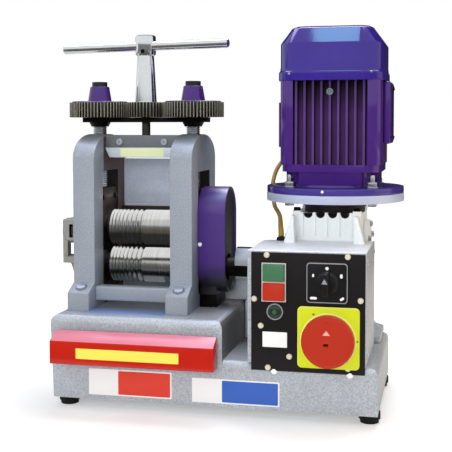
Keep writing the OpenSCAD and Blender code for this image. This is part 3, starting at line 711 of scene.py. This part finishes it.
def make_terminal_screws():
    """Four black screws hold the lid, which has a shadow line round it."""
    low, high = box("terminal_box")
    lid = bevelled(block("terminal_lid", (high.x - 3, low.y + 2.5, low.z + 2.5),
                         (high.x - 0.01, high.y - 2.5, high.z - 2.5)), 1.5, 3)
    edited(lid, lambda c, n: n.x > 0.9, bpy.ops.mesh.inset, thickness=7 * MM, depth=-0.8 * MM)
    finished(lid, PURPLE)
    spots = grid([high.x - 1.2], (low.y + 9, high.y - 9), (low.z + 15, high.z - 24))
    fitted("terminal_screws", domed_screw("screw", 3, 1.2, 0.9), spots, RIGHT, BLACK_STEEL_AND_SHADE, turn=90)


make_fan_cowl()
paint_motor()
make_studs()
make_motor_screws()
make_lifting_ring()
make_terminal_screws()


# ---------- gearbox ----------
FLARE_Z = 226, 266


def make_gearbox_details():
    """A neck in painted shade under the flange, cap screws, bolted side covers and an oil plug."""
    low, high = box("gearbox_body")
    neck_r, corner, y0, depth = 44, 6, MILL_Y - 2, 114
    # Painted shade on the neck under the motor flange.
    painted(made["input_flange"], DARK_IRON_AND_SHADE,
            lambda c, n: c.z < high.z + 12 and from_axis(c, MOTOR_X, MOTOR_Y) < neck_r + 0.5)
    painted(made["input_flange"], FLANGE_ALLOY,
            lambda c, n: from_axis(c, MOTOR_X, MOTOR_Y) > neck_r + 8)
    spots = grid((low.x + corner, high.x - corner), (y0 + corner, y0 + depth - corner),
                 [high.z - 0.2])
    fitted("gearbox_cap_screws", cap_screw("screw", 5, 5), spots, UP, BLACK_STEEL_AND_SHADE)
    hub_y, hub_z, ring = MOTOR_Y + 10, LOWER_Z + 24, 37.5
    left, right = box("gearbox_covers")
    for name, x, way in (("left_cover_bolts", left.x, LEFT), ("right_cover_bolts", right.x, RIGHT)):
        spots = [(x, hub_y + dy, hub_z + dz) for dy, dz in circle(ring, 6, 30)]
        fitted(name, hex_bolt("bolt", 4.6, 3.2, 0.8), spots, way, ZINC)
    plug = hex_bolt("oil_plug", 5, 4, 1.2)
    finished(place(plug, (low.x - 6.5, MILL_Y + 10, high.z - 38), LEFT), BLACK_STEEL_AND_SHADE)
    rings = turned("cover_rings", [(0, 0), (12, 0), (12, 1.2), (9, 1.2), (8, 0.5), (0, 0.5)])
    finished(place(rings, (right.x, hub_y, hub_z), RIGHT), CAST_ALLOY)


def make_castings():
    """A cast web joins the platform to the pedestal, and the gear case flares to its foot. The
    platform's right face, under the coupling, is painted darker as painted shade."""
    # Painted shade: the riser under the coupling gets a darker enamel.
    painted(made["base_casting"], RISER_SHADE_PAINT,
            lambda c, n: n.x > 0.6 and c.x < 60 and c.z < PLATFORM_Z - 2.6)
    upper = block("upper", (-34, 46, PLATFORM_Z - 1), (MOTOR_X - 50, 84, 166))
    lower = block("lower", (17.5, 30, 76), (MOTOR_X - 50, 84, PLATFORM_Z + 2))
    finished(joined("pedestal_web", bevelled(upper, 4, 3), bevelled(lower, 2)), BASE_PAINT)
    low, high = box("gearbox_body")
    middle, wall, rim = (low.x + high.x) / 2, MILL_Y - 2, high.z - 4
    pitch = (high.x - low.x) * 0.178
    scoop_r, run = 6.4, 12
    scoops = [prism("scoop", 24, scoop_r, run + 4, (middle + pitch * i, wall - 4, rim + 0.4), BACK)
              for i in (-1.5, -0.5, 0.5, 1.5)]
    # Painted shade in the scoops between the ribs at the top of the gear case.
    painted(cut(made["gearbox_body"], *scoops), DARK_IRON_AND_SHADE,
            lambda c, n: wall + 1 < c.y < wall + run + 1 and rim - scoop_r + 0.1 < c.z < rim - 0.1)
    flares = []
    for x, way in ((low.x, 1), (high.x, -1)):
        flare = block("flare", (x - 8, low.y + 1, FLARE_Z[0]), (x + 8, low.y + 19, FLARE_Z[1]))
        edited(flare, lambda c, n: n.z > 0.9, bpy.ops.transform.resize, value=(0.25, 1, 1),
               center_override=((x + 6 * way) * MM, 0, 0))
        flares.append(bevelled(flare, 1.5, 3))
    finished(joined("gear_case_flares", *flares), CAST_ALLOY)


make_gearbox_details()
make_castings()


# ---------- screw-down gear ----------
def slackened(gear, x, tip):
    """Takes 0.12 mm off a gear all round for some play, and wears its teeth bright."""
    applied(gear, "DISPLACE", strength=-0.12 * MM, mid_level=0.0)
    painted(gear, WORN_STEEL, lambda c, n: from_axis(c, x, MILL_Y) > tip - 0.7 and abs(n.z) < 0.6)


def make_pressure_screw(side, x):
    """The gear keeps its teeth, and its shank is a cut thread of 3 mm pitch."""
    node = side + "_screw"
    gear = split(softened(node, 0), (0, 0, GEAR_LOW.z + 0.01), UP, use_fill=True, clear_inner=True)
    low, high = box(node)
    slackened(finished(bevelled(gear, 0.3), GEAR_STEEL, node + "_body"), x, (high.x - low.x) / 2)
    pitch, crest, root, length = 3.0, 10.2, 8.9, GEAR_LOW.z - low.z
    outline = [(0, 0), (root, 0)]
    for i in range(int(length / pitch)):
        outline += [(r, pitch * i + h) for r, h in ((root, 0.2), (crest, 1.2), (crest, 1.8),
                                                    (root, 2.8))]
    outline += [(root, length + 1), (0, length + 1)]
    thread = turned(side + "_thread", outline, (x, MILL_Y, low.z), sides=40)
    finished(thread, ZINC, node + "_body", smooth=50)


def paint_caps():
    """The caps end in a black plug."""
    for side in ("left", "right"):
        top = box(side + "_cap")[1].z
        painted(made[side + "_cap"], BLACK_NYLON, lambda c, n: c.z > top - 6.9)


def make_handle():
    """A turned column with its hub, and the cross bar through it."""
    low, high = box("t_handle")
    bar_z, hub_r, hub_h, bar_r = high.z - 16, 15, 28, 6.8
    hub_low = bar_z - hub_h / 2
    outline = [(0, low.z), (5.4, low.z), (6.2, low.z + 0.8), (6.2, GEAR_HIGH.z - 0.5),
               (15.9, GEAR_HIGH.z), (15.7, GEAR_HIGH.z + 2), (12.1, hub_low - 0.6),
               (hub_r - 3, hub_low), (hub_r - 0.9, hub_low + 1.2), (hub_r, hub_low + 3.4),
               (hub_r, high.z - 3.2), (hub_r - 0.9, high.z - 1), (hub_r - 3, high.z), (0, high.z)]
    column = turned("handle_column", outline, (MILL_X, MILL_Y, 0), sides=64)
    slide, length, turn = 4.2, 277, radians(-12.6)
    way = Vector((cos(turn), sin(turn), 0))
    start = Vector((MILL_X, MILL_Y, bar_z)) - way * (length / 2 + slide)
    bar = turned("bar", [(0, 0), (bar_r - 1.2, 0), (bar_r, 1.2), (bar_r, 14), (bar_r - 0.15, 14.4),
                         (bar_r - 0.15, length - 1.6), (bar_r - 1.6, length), (0, length)],
                 start, way, 40)
    grip = finished(joined("tee_handle", column, bar), CHROME, "handle")
    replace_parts(grip, "t_handle")
    painted(grip, GEAR_STEEL, lambda c, n: c.z < GEAR_LOW.z + 1)
    pin = place(cap_screw("hub_pin", 3, 1.2), (MILL_X, MILL_Y - hub_r + 0.4, hub_low + 6), FRONT)
    finished(pin, BLACK_STEEL_AND_SHADE, "handle")


make_pressure_screw("left", LEFT_X)
make_pressure_screw("right", RIGHT_X)
paint_caps()
slackened(made["handle_pinion"], MILL_X, (GEAR_HIGH.x - GEAR_LOW.x) / 2)
make_handle()


# ---------- mill frame ----------
def make_frame_fixings():
    """Toe bolts on their sloped lands, the screws of the top tie and of the rear plate, and the
    blank decal on the strip."""
    slope, rise, toe = 25, 12, 13
    tilt = Vector((0, -rise, slope)).normalized()
    for name, y, way in (("front_toe_bolts", HOUSE_LOW.y + toe, tilt),
                         ("rear_toe_bolts", HOUSE_HIGH.y - toe, Vector((0, -tilt.y, tilt.z)))):
        spots = grid((LEFT_X, RIGHT_X), [y], [PLATFORM_Z + 25.5 + rise * toe / slope - 0.4])
        head = bevelled(prism("head", 6, 7.2, 2.6, (0, 0, 0.8)), 0.6, 2, 50)
        fitted(name, head, spots, way, PALE_ZINC_AND_LIGHT, turn=12)
        washer = bevelled(prism("washer", 28, 8.8, 0.9), 0.2)
        fitted(name + "_washers", washer, spots, way, TIE_STEEL)
    low, high = box("top_tie")
    spots = [(MILL_X + s * 34, low.y + 0.1, (low.z + high.z) / 2 - 0.5) for s in (-1, 1)]
    fitted("tie_screws", cap_screw("screw", 4.8, 3.6, 0.35), spots, FRONT, PALE_ZINC_AND_LIGHT)
    low, high = box("rear_plate")
    spots = grid((low.x + 12, high.x - 12), [high.y], (low.z + 12, high.z - 12))
    fitted("rear_plate_screws", cap_screw("screw", 5, 3), spots, BACK, BLACK_STEEL_AND_SHADE)
    low, high = box("name_strip")
    plate("strip_decal", (low.x + 24.2, low.y - 0.25, low.z + 1),
          (high.x - 22.3, low.y + 0.5, high.z - 0.8), 0.5, 0.1, PALE_YELLOW_VINYL)


def make_chock_screws():
    """Two screws on each upper chock, inside its window."""
    z = box("upper_chocks")[1].z - 14
    screws = [place(cap_screw("screw", 4, 2.5), (x, MILL_Y + y, z), way)
              for x, way in ((LEFT_X + 14, RIGHT), (RIGHT_X - 14, LEFT)) for y in (-26, 26)]
    finished(joined("chock_screws", *screws), BLACK_STEEL_AND_SHADE, "screwdown")


def make_guard_details():
    """The open end of the guard is painted dark inside a purple rim, and its stand black, both as
    painted shade.
    """
    low, high = box("gear_guard")
    foot, seam, mouth = LOWER_Z - 37, LOWER_Z + 5, high.x - 8
    guard = split(made["gear_guard"], (0, 0, foot), UP)

    def reach(c):
        """Distance from the line that joins the two gear axes."""
        return hypot(c.y - MILL_Y, c.z - min(max(c.z, LOWER_Z), UPPER_Z))

    # Painted shade on the end face and the inner walls of the guard's open end.
    painted(guard, DARK_IRON_AND_SHADE, lambda c, n: n.x > 0.9 and mouth < c.x < high.x - 0.3 and c.z > foot)
    painted(guard, DARK_IRON_AND_SHADE,
            lambda c, n: c.x > mouth and c.z > foot and reach(c) < 35 and abs(n.x) < 0.5)
    # Painted shade: the stand below the guard is black.
    painted(guard, BLACK_STEEL_AND_SHADE, lambda c, n: c.z < foot)
    painted(made["lower_roll"], BLACK_STEEL_AND_SHADE, lambda c, n: c.x > RIGHT_X + 20)
    # Painted light and shade on the coupling cover: the upper half pale, the lower half black, the
    # upward faces dark.
    cover = split(made["coupling_cover"], (0, 0, seam), UP)
    painted(cover, PALE_ZINC_AND_LIGHT, lambda c, n: c.z > seam)
    painted(cover, DARK_IRON_AND_SHADE, lambda c, n: n.z > 0.7 and n.y > -0.4)
    button = place(domed_screw("guard_screw", 3, 2.4), (low.x + 3.5, MILL_Y - 38.8, 222.5), FRONT)
    finished(button, WHITE_PLASTIC)


def make_rear_screens():
    """Black plates above and below the pass line close the mill's back between the housings."""
    plates = [rounded_plate("screen", (INNER_LEFT - 0.5, MILL_Y + 52, low),
                            (INNER_RIGHT + 0.5, MILL_Y + 56, high), 2, 0.6)
              for low, high in ((PLATFORM_Z + 6, (LOWER_Z + UPPER_Z) / 2 - 2.5),
                                (UPPER_Z + 12, UPPER_Z + 27))]
    finished(joined("rear_screens", *plates), DARK_IRON_AND_SHADE)
    low, high = box("rear_plate")
    plate("rear_plate_apron", (low.x + 0.5, low.y + 0.5, UPPER_Z + 18),
          (high.x - 0.5, high.y - 1, low.z + 3), 1, 0.8, PLATE_PAINT)
    plate("screen_strip", (INNER_LEFT + 30, MILL_Y + 50.6, LOWER_Z - 39),
          (INNER_RIGHT + 0.4, MILL_Y + 52.5, LOWER_Z - 33), 1, 0.4, TIE_STEEL)


def shade_housing_insides():
    """Painted shade: the housings are brown and dark inside their windows and behind them."""
    window, sill, top = MILL_Y - 30, PLATFORM_Z + 12, HOUSE_HIGH.z - 20
    for side, way in (("left", 1), ("right", -1)):
        piece = split(made[side + "_housing"], (0, window, 0), (0, 1, 0))
        painted(piece, BROWN_IRON_SHADE,
                lambda c, n: way * n.x > 0.3 and c.y > window and sill + 6 < c.z < top)
        painted(piece, DARK_IRON_AND_SHADE, lambda c, n: abs(n.x) < 0.5 and abs(c.y - MILL_Y) < 46
                and sill < c.z < top - 10)


def make_bracket_details():
    """The fitting on the left housing: a square block with painted brown shade in its slot, on a
    post and a rib.
    """
    left, eye_z = box("side_bracket")[0].x + 1.6, LOWER_Z + 48
    head = bevelled(block("head", (left, MILL_Y - 19, eye_z - 14),
                          (left + 26, MILL_Y + 19, eye_z + 18.4)), 2.2, 3)
    for piece in (head, made["side_bracket"]):
        cut(piece, rounded_plate("slot", (left + 10.6, MILL_Y - 30, eye_z - 9),
                                 (left + 16.6, MILL_Y - 11, eye_z + 11), 1.4, 0.2))
    post = block("post", (left, MILL_Y - 18.5, LOWER_Z + 9), (left + 8, MILL_Y - 13.5, eye_z - 12))
    foot = block("foot", (left, MILL_Y - 18.5, LOWER_Z + 0.6), (left + 20, MILL_Y, LOWER_Z + 10.8))
    rib = block("rib", (left + 6, MILL_Y - 5, LOWER_Z - 24), (left + 11, MILL_Y + 5, LOWER_Z + 2))
    edited(rib, lambda c, n: n.z < -0.9, bpy.ops.transform.translate, value=(9 * MM, 0, 0))
    shape = joined("bracket_block", head, bevelled(post, 1.0), bevelled(foot, 1.2),
                   bevelled(rib, 0.8))
    finished(shape, OILY_CASTING)
    for piece in (shape, made["side_bracket"]):
        painted(piece, BROWN_IRON_SHADE, lambda c, n: left + 10 < c.x < left + 17
                and MILL_Y - 18.6 < c.y < MILL_Y - 10 and abs(c.z - eye_z) < 13)


make_frame_fixings()
make_chock_screws()
make_guard_details()
make_rear_screens()
shade_housing_insides()
make_bracket_details()


# ---------- control panel ----------
def make_panel_screws():
    """The heads on the panel's face and the two at its foot, measured from its left edge."""
    small = [(21, 222.6), (127.1, 222.8), (4.4, 164.1), (143.8, 166.4), (13.2, 128.7),
             (51.2, 89.3), (22.7, 73.4), (127.9, 77.2)]
    fitted("panel_screws", domed_screw("screw", 3.9, 2.6),
           [(PANEL_LOW.x + x, PANEL_LOW.y, z) for x, z in small], FRONT, CREAM_PLASTIC)
    fitted("panel_foot_screws", domed_screw("screw", 4.8, 3.4),
           [(PANEL_LOW.x + x, BASE_FRONT, PANEL_LOW.z - 0.5) for x in (30.7, 130.5)], FRONT,
           WHITE_PLASTIC)


def make_pilot_lamp():
    """A thin grey ring round a dark green lens with a paler middle."""
    x, _, z = centre("pilot_lamp")
    at = (x, box("pilot_lamp")[1].y, z)
    ring = turned("lamp_ring", [(9.2, 0), (11, 0), (11, 1.6), (10.6, 2.2), (9.6, 2.2), (9.2, 1.8)],
                  at, FRONT)
    finished(ring, GREY_PLASTIC, slot="clear_lens")
    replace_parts(ring, "pilot_lamp")
    lens = turned("lamp_lens", [(0, 0), (9.3, 0), (9.3, 2), (8.4, 3.4), (6, 4.6), (3, 5.2),
                                (0, 5.4)], at, FRONT)
    finished(lens, LENS_GREEN)
    painted(lens, LENS_PALE, lambda c, n: hypot(c.x - x, c.z - z) < 3.4 and n.y < -0.5)


def make_button_divider():
    """A pale bar between the start and the stop button."""
    low, high = box("button_bezel")
    z = centre("button_bezel").z
    plate("button_divider", (low.x + 1, low.y - 0.3, z - 1.1), (high.x - 1, high.y, z + 1.1),
          0.6, 0.3, PINK_PLASTIC)


def make_blank_label():
    """A white label without print under the lamp."""
    x, y = PANEL_LOW.x, PANEL_LOW.y
    plate("blank_label", (x + 15.5, y - 0.5, 100.7), (x + 48.2, y + 0.5, 121), 0.8, 0.2,
          WHITE_VINYL)


def flat_mark(name, at, width, height, radius, material=WHITE_PLASTIC, turn=0, body="machine"):
    """A mark raised 0.4 mm on a front face, turned in its own plane (degrees)."""
    mark = rounded_plate(name, (-width / 2, -0.4, -height / 2), (width / 2, 0.4, height / 2),
                         radius, 0.2)
    mark.data.transform(Matrix.Translation(Vector(at) * MM)
                        @ Matrix.Rotation(radians(turn), 4, "Y"))
    finished(mark, material, body)


def arrow(name, at, radius, depth, sink, edge, stretch, material, body):
    """A three-sided pointer let into a front face, its tip up."""
    piece = bevelled(prism(name, 3, radius, depth, (0, 0, -sink)), edge)
    piece.data.transform(Matrix.Diagonal((*stretch, 1, 1)))
    finished(place(piece, at, FRONT, 180), material, body)


def make_selector():
    """A black switch plate in a thin grey frame, with white marks and a knob with a grip."""
    low, high = box("cam_plate")
    x, _, z = centre("cam_plate")
    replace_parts(plate("selector_plate", low, high, 5, 0.9, BLACK_NYLON), "cam_plate")
    edging = rounded_plate("selector_frame", (low.x + 0.9, low.y - 0.25, low.z + 0.9),
                           (high.x - 0.9, low.y + 0.6, high.z - 0.9), 4.4, 0.1)
    opening = rounded_plate("opening", (low.x + 2, low.y - 2, low.z + 2),
                            (high.x - 2, low.y + 2, high.z - 2.2), 3.6, 0.1)
    finished(cut(edging, opening), GREY_PLASTIC)
    # Painted highlight: the top of the frame is paler.
    painted(edging, PALE_PLASTIC, lambda c, n: c.z > high.z - 6)
    for name, dx, dz, width, height, radius, turn in (
            ("dot", 0, 19, 4.4, 4.4, 2.1, 0),
            ("left_tick", -18, 9.5, 2.6, 4, 1.1, 0),
            ("right_tick", 18.5, 9.5, 3.4, 5.4, 1.5, 0),
            ("left_oval", -17.5, -20, 9, 3.4, 1.6, 0),
            ("right_spot", 19.5, -20, 6, 3.2, 1.5, -35)):
        flat_mark("selector_" + name, (x + dx, low.y, z + dz), width, height, radius, turn=turn)
    front, back = (corner.y for corner in box("cam_knob"))
    skirt = turned("selector_skirt", [(0, 0), (15, 0), (15, 2.2), (13.6, 3.4), (12.4, 5.4),
                                      (11, 6), (0, 6)], (x, back, z), FRONT)
    finished(skirt, BLACK_NYLON, "selector")
    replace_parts(skirt, "cam_knob")
    grip = block("selector_grip", (x - 5, front, z - 16), (x + 5, back - 4, z + 16))
    edited(grip, lambda c, n: n.y < -0.9, bpy.ops.transform.resize, value=(0.62, 1, 0.9))
    finished(bevelled(grip, 1.6, 3), BLACK_NYLON, "selector")
    arrow("selector_pointer", (x - 1, front, z + 4), 4.6, 0.5, 0.2, 0.15, (1, 1), GREY_PLASTIC,
          "selector")


def make_isolator():
    """A yellow plate with a cream ring, and the red dial with its recess, arrow and tick."""
    low, high = box("isolator_plate")
    x, _, z = centre("isolator_plate")
    y, disc_z = low.y + 1.5, z - 3.5
    back = plate("isolator_back", (low.x, y, low.z), high, 6, 1.0, YELLOW_PLASTIC)
    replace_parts(back, "isolator_plate")
    # Painted light: the plate's upper and left faces are cream.
    painted(back, CREAM_YELLOW, lambda c, n: n.z > 0.3 or n.x < -0.3)
    ring = turned("isolator_ring", [(33.8, 0), (36.5, 0), (36.5, 1.2), (36, 1.5), (33.8, 1.5)],
                  (x, y, disc_z), FRONT, 72)
    finished(ring, CREAM_YELLOW)
    flat_mark("isolator_mark_1", (x - 19.4, y, z + 30.6), 3.4, 2.6, 1.2, OLIVE_PLASTIC)
    flat_mark("isolator_mark_2", (x + 37.3, y, z - 2.8), 3.4, 2.6, 1.2, OLIVE_PLASTIC)
    root = box("isolator_knob")[1].y
    face = root - 8
    knob = turned("isolator_dial", [(0, 0), (34.5, 0), (34.5, 7.4), (33.6, 8.6), (32.4, 9),
                                    (31.4, 8.8), (30.6, 8.2), (0, 8)], (x, root, disc_z), FRONT,
                  72)
    cut(knob, rounded_plate("recess", (x - 5.4, face - 4, disc_z - 5.6),
                            (x + 1.4, face + 3, disc_z - 1.9), 1.8, 0.2))
    finished(knob, RED_PLASTIC, "isolator")
    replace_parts(knob, "isolator_knob")
    # Painted shade in the dial's recess.
    painted(knob, DARK_IRON_AND_SHADE, lambda c, n: face + 1 < c.y < face + 3.5
            and hypot(c.x - x, c.z - disc_z) < 12)
    arrow("isolator_arrow", (x - 1.5, face, disc_z + 11), 5.2, 0.8, 0.3, 0.2, (1.1, 0.82),
          PINK_PLASTIC, "isolator")
    flat_mark("isolator_tick", (x, face, disc_z + 25.5), 9, 2, 0.9, DEEP_RED_PLASTIC, 0, "isolator")


def make_box_details():
    """The screws on the sheet box's right side, and its lid, painted paler than its sides as
    painted light.
    """
    low, high = box("control_box")
    spots = grid([high.x], (low.y + 14, high.y - 16), (low.z + 16, high.z - 14))
    fitted("box_side_screws", domed_screw("screw", 3.4, 2, 0.8), spots, RIGHT, ZINC, turn=90)
    # Painted light on the box's lid.
    painted(made["control_box"], LIT_LID_PAINT, lambda c, n: n.z > 0.5 and c.z > high.z - 4)


make_panel_screws()
make_button_divider()
make_pilot_lamp()
make_blank_label()
make_selector()
make_isolator()
make_box_details()


# ---------- labels, bar and feet ----------
def make_labels():
    """Blank label plates on the base, and the bar's yellow strip, let in flush."""
    for name, x0, x1, z0, z1, material, proud in (
            ("red_field_label", -171.5, -53, 21.6, 58, WHITE_VINYL, 0.3),
            ("red_field", -129, -55, 23.4, 56.2, RED_VINYL, 0.45),
            ("blue_field_label", -24.4, 95, 20, 53, WHITE_VINYL, 0.3),
            ("blue_field", 17, 93, 21.8, 51.2, BLUE_VINYL, 0.45)):
        plate(name, (x0, BASE_FRONT - proud, z0), (x1, BASE_FRONT + 0.4, z1), 1.2, 0.1, material)
    deck = rounded_plate("platform_label", (-188, -104, PLATFORM_Z - 0.3),
                         (-71, -64, PLATFORM_Z + 0.3), 2, 0.1, axis=2)
    finished(deck, PALE_BLUE_VINYL)
    low, bar, inlay = box("emergency_bar")[0], made["emergency_bar"], 0.35
    edited(bar, lambda c, n: n.y < -0.9, bpy.ops.transform.translate, value=(0, inlay * MM, 0))
    # Painted reflection: the bar's top slope is a paler pink.
    painted(bar, RED_PAINTED_SHEEN, lambda c, n: n.z > 0.5)
    plate("bar_strip", (-179, low.y, low.z + 8.6), (-35, low.y + 0.8, low.z + 22.8), 1.0, 0.1,
          YELLOW_VINYL, "stop_bar")


def make_feet_washers():
    """A pale washer shows between each rubber foot and the casting."""
    low, high = box("rubber_feet")
    r = 14.5
    washer = bevelled(prism("washer", 40, r - 0.8, 1.5), 0.3)
    fitted("foot_washers", washer, grid((low.x + r, high.x - r), (low.y + r, high.y - r),
                                        [high.z - 1.6]), UP, PALE_PLASTIC)


make_labels()
make_feet_washers()


# ---------- glands ----------
def sleeve(name, points):
    """A bend-relief sleeve that tapers along the cable."""
    wide, narrow, last = 4.3, 3.35, len(points) - 1
    take(tube(name, points, 1, 5, 10,
              [wide + (narrow - wide) * i / last for i in range(last + 1)]))
    bpy.ops.object.convert(target="MESH")
    finished(bpy.context.object, CABLE_PVC)


def make_glands():
    """Black nylon glands: a hexagon body, a domed nut and a tapered sleeve on the cable."""
    gland = joined("gland", bevelled(prism("body", 6, 7.4, 3.4), 0.5, 2, 50),
                   turned("nut", [(0, 3.4), (6.3, 3.4), (6.5, 4), (6.4, 4.6), (5.6, 5), (0, 5)]))
    deck = copied(gland, (78, -6, box("cable_glands")[0].z))
    place(gland, (100, 133, 350), LEFT)
    collar = prism("collar", 24, 6.4, 3.2, (95.2, 133, 350), LEFT)
    both = finished(joined("gland_bodies", deck, gland, bevelled(collar, 0.5)), BLACK_NYLON)
    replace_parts(both, "cable_glands")
    sleeve("motor_gland_sleeve", CABLE_ROUTE[:4])
    sleeve("deck_gland_sleeve", CABLE_ROUTE[:-5:-1])


make_glands()


# ---------- studio ----------
def make_floor():
    """A pale floor that keeps the shadow and fades into the white far from the object."""
    rest()
    bpy.ops.mesh.primitive_plane_add(size=12)
    floor = fresh("studio_floor")
    m, here = started("pale_studio_floor")
    seen = add(m, "LightPath").outputs["Is Camera Ray"]
    far = add(m, "VectorMath", {0: here}, operation="LENGTH").outputs["Value"]
    matt = add(m, "BsdfDiffuse", {"Color": colour("#E6E6E6")}).outputs[0]
    glow = add(m, "Emission", {"Color": colour("#FFFFFF"),
                               "Strength": ranged(m, far, 0.32, 0.75, 0.35, 1.6)})
    both = add(m, "AddShader", {0: matt, 1: glow.outputs[0]})
    ended(m, add(m, "MixShader", {0: seen, 1: matt, 2: both.outputs[0]}))
    floor.data.materials.append(m)


def make_world():
    """White to the camera and in mirrors and glass, and a soft blue-grey light elsewhere."""
    world = bpy.data.worlds.new("studio_world")
    bpy.context.scene.world = world
    world.use_nodes = True
    world.node_tree.nodes.clear()
    seen = add(world, "LightPath").outputs
    white = seen["Is Camera Ray"]
    for kind in ("Is Glossy Ray", "Is Transmission Ray"):
        white = add(world, "Math", {0: white, 1: seen[kind]}, operation="MAXIMUM").outputs[0]
    soft, bright = (add(world, "Background", {"Color": colour(code), "Strength": strength})
                    for code, strength in (("#F4F6FA", 0.45), ("#FFFFFF", 1.0)))
    both = add(world, "MixShader", {0: white, 1: soft.outputs[0], 2: bright.outputs[0]})
    add(world, "OutputWorld", {"Surface": both.outputs[0]})


def reflector(card, code, strength):
    """Makes a studio piece a glowing card that only reflections see."""
    m = started(card.name)[0]
    ended(m, add(m, "Emission", {"Color": colour(code), "Strength": strength}))
    card.data.materials.append(m)
    for kind in ("camera", "diffuse", "shadow", "transmission"):
        setattr(card, "visible_" + kind, False)


def wall_card(name, start, end, radius, low, high, code, strength):
    """An upright curved card round the object, between two bearings in degrees from +X."""
    card = dot(name)
    start, end = radians(start), radians(end)
    foot = Vector((radius * cos(start), radius * sin(start), low))
    spun([foot, foot + Vector((0, 0, high - low))], 24, start - end)
    rest()
    reflector(card, code, strength)


def flat_card(name, low_x, high_x, low_y, high_y, z, code, strength):
    """A level card."""
    rest()
    bpy.ops.mesh.primitive_plane_add(size=1, location=((low_x + high_x) / 2,
                                                       (low_y + high_y) / 2, z))
    bpy.context.object.dimensions = (high_x - low_x, high_y - low_y, 0)
    reflector(fresh(name), code, strength)


def softbox(name, at, to, size, watts, code="#FFFFFF", shine=False):
    """A square soft light. Without shine it lights, but is not mirrored."""
    data = bpy.data.lights.new(name, "AREA")
    data.shape = "SQUARE"
    data.size = size
    data.energy = watts
    data.color = colour(code)[:3]
    lamp = linked(name, data)
    lamp.location = at
    lamp.rotation_euler = (Vector(to) - Vector(at)).to_track_quat("-Z", "Y").to_euler()
    lamp.visible_glossy = shine


make_floor()
make_world()
wall_card("dark_back_card", 20, 135, 1.5, 0.0, 3.2, "#2A2A2C", 1.0)
wall_card("grey_front_card", 190, 345, 2.6, 0.0, 0.85, "#808080", 1.0)
wall_card("column_card", 8, 60, 0.16, 0.41, 0.54, "#FFFFFF", 0.9)
OVER_ROLLS = -0.182, -0.071
for card in (("grey_floor_card", -1.5, 1.5, -2.5, -0.3, 0.002, "#6C685A", 1.0),
             ("upper_roll_card", *OVER_ROLLS, -0.037, 0.05, 0.285, "#FFFFFF", 1.3),
             ("lower_roll_card", *OVER_ROLLS, -0.028, 0.005, 0.2135, "#FFFFFF", 1.3),
             ("pass_line_card", *OVER_ROLLS, -0.05, 0.005, 0.2139, "#303030", 1.0),
             ("underside_card", *OVER_ROLLS, -0.06, -0.0215, 0.1545, "#141416", 1.0),
             ("underside_strip_card", -0.132, -0.098, -0.0215, 0.01, 0.1545, "#8A9296", 1.0),
             ("sky_card_front", -0.155, 0.2, -0.75, -0.15, 2.0, "#A2E2FF", 10.5),
             ("sky_card_back", -1.2, 0.3, 0.1, 1.1, 2.0, "#D8D7FF", 8.0)):
    flat_card(*card)
softbox("key_softbox", (-0.9, -1.6, 1.7), (0, 0, 0.25), 1.0, 8)
softbox("front_softbox", (0.05, -1.7, 0.5), (0, 0, 0.24), 0.6, 15.5)
softbox("warm_side_softbox", (1.9, 0.1, 0.4), (0.1, 0, 0.2), 0.7, 9.5, "#FFD79A")
softbox("top_softbox", (0.2, 0.6, 1.9), (0, 0, 0.3), 1.2, 25, shine=True)

bpy.context.scene.view_settings.view_transform = "Standard"
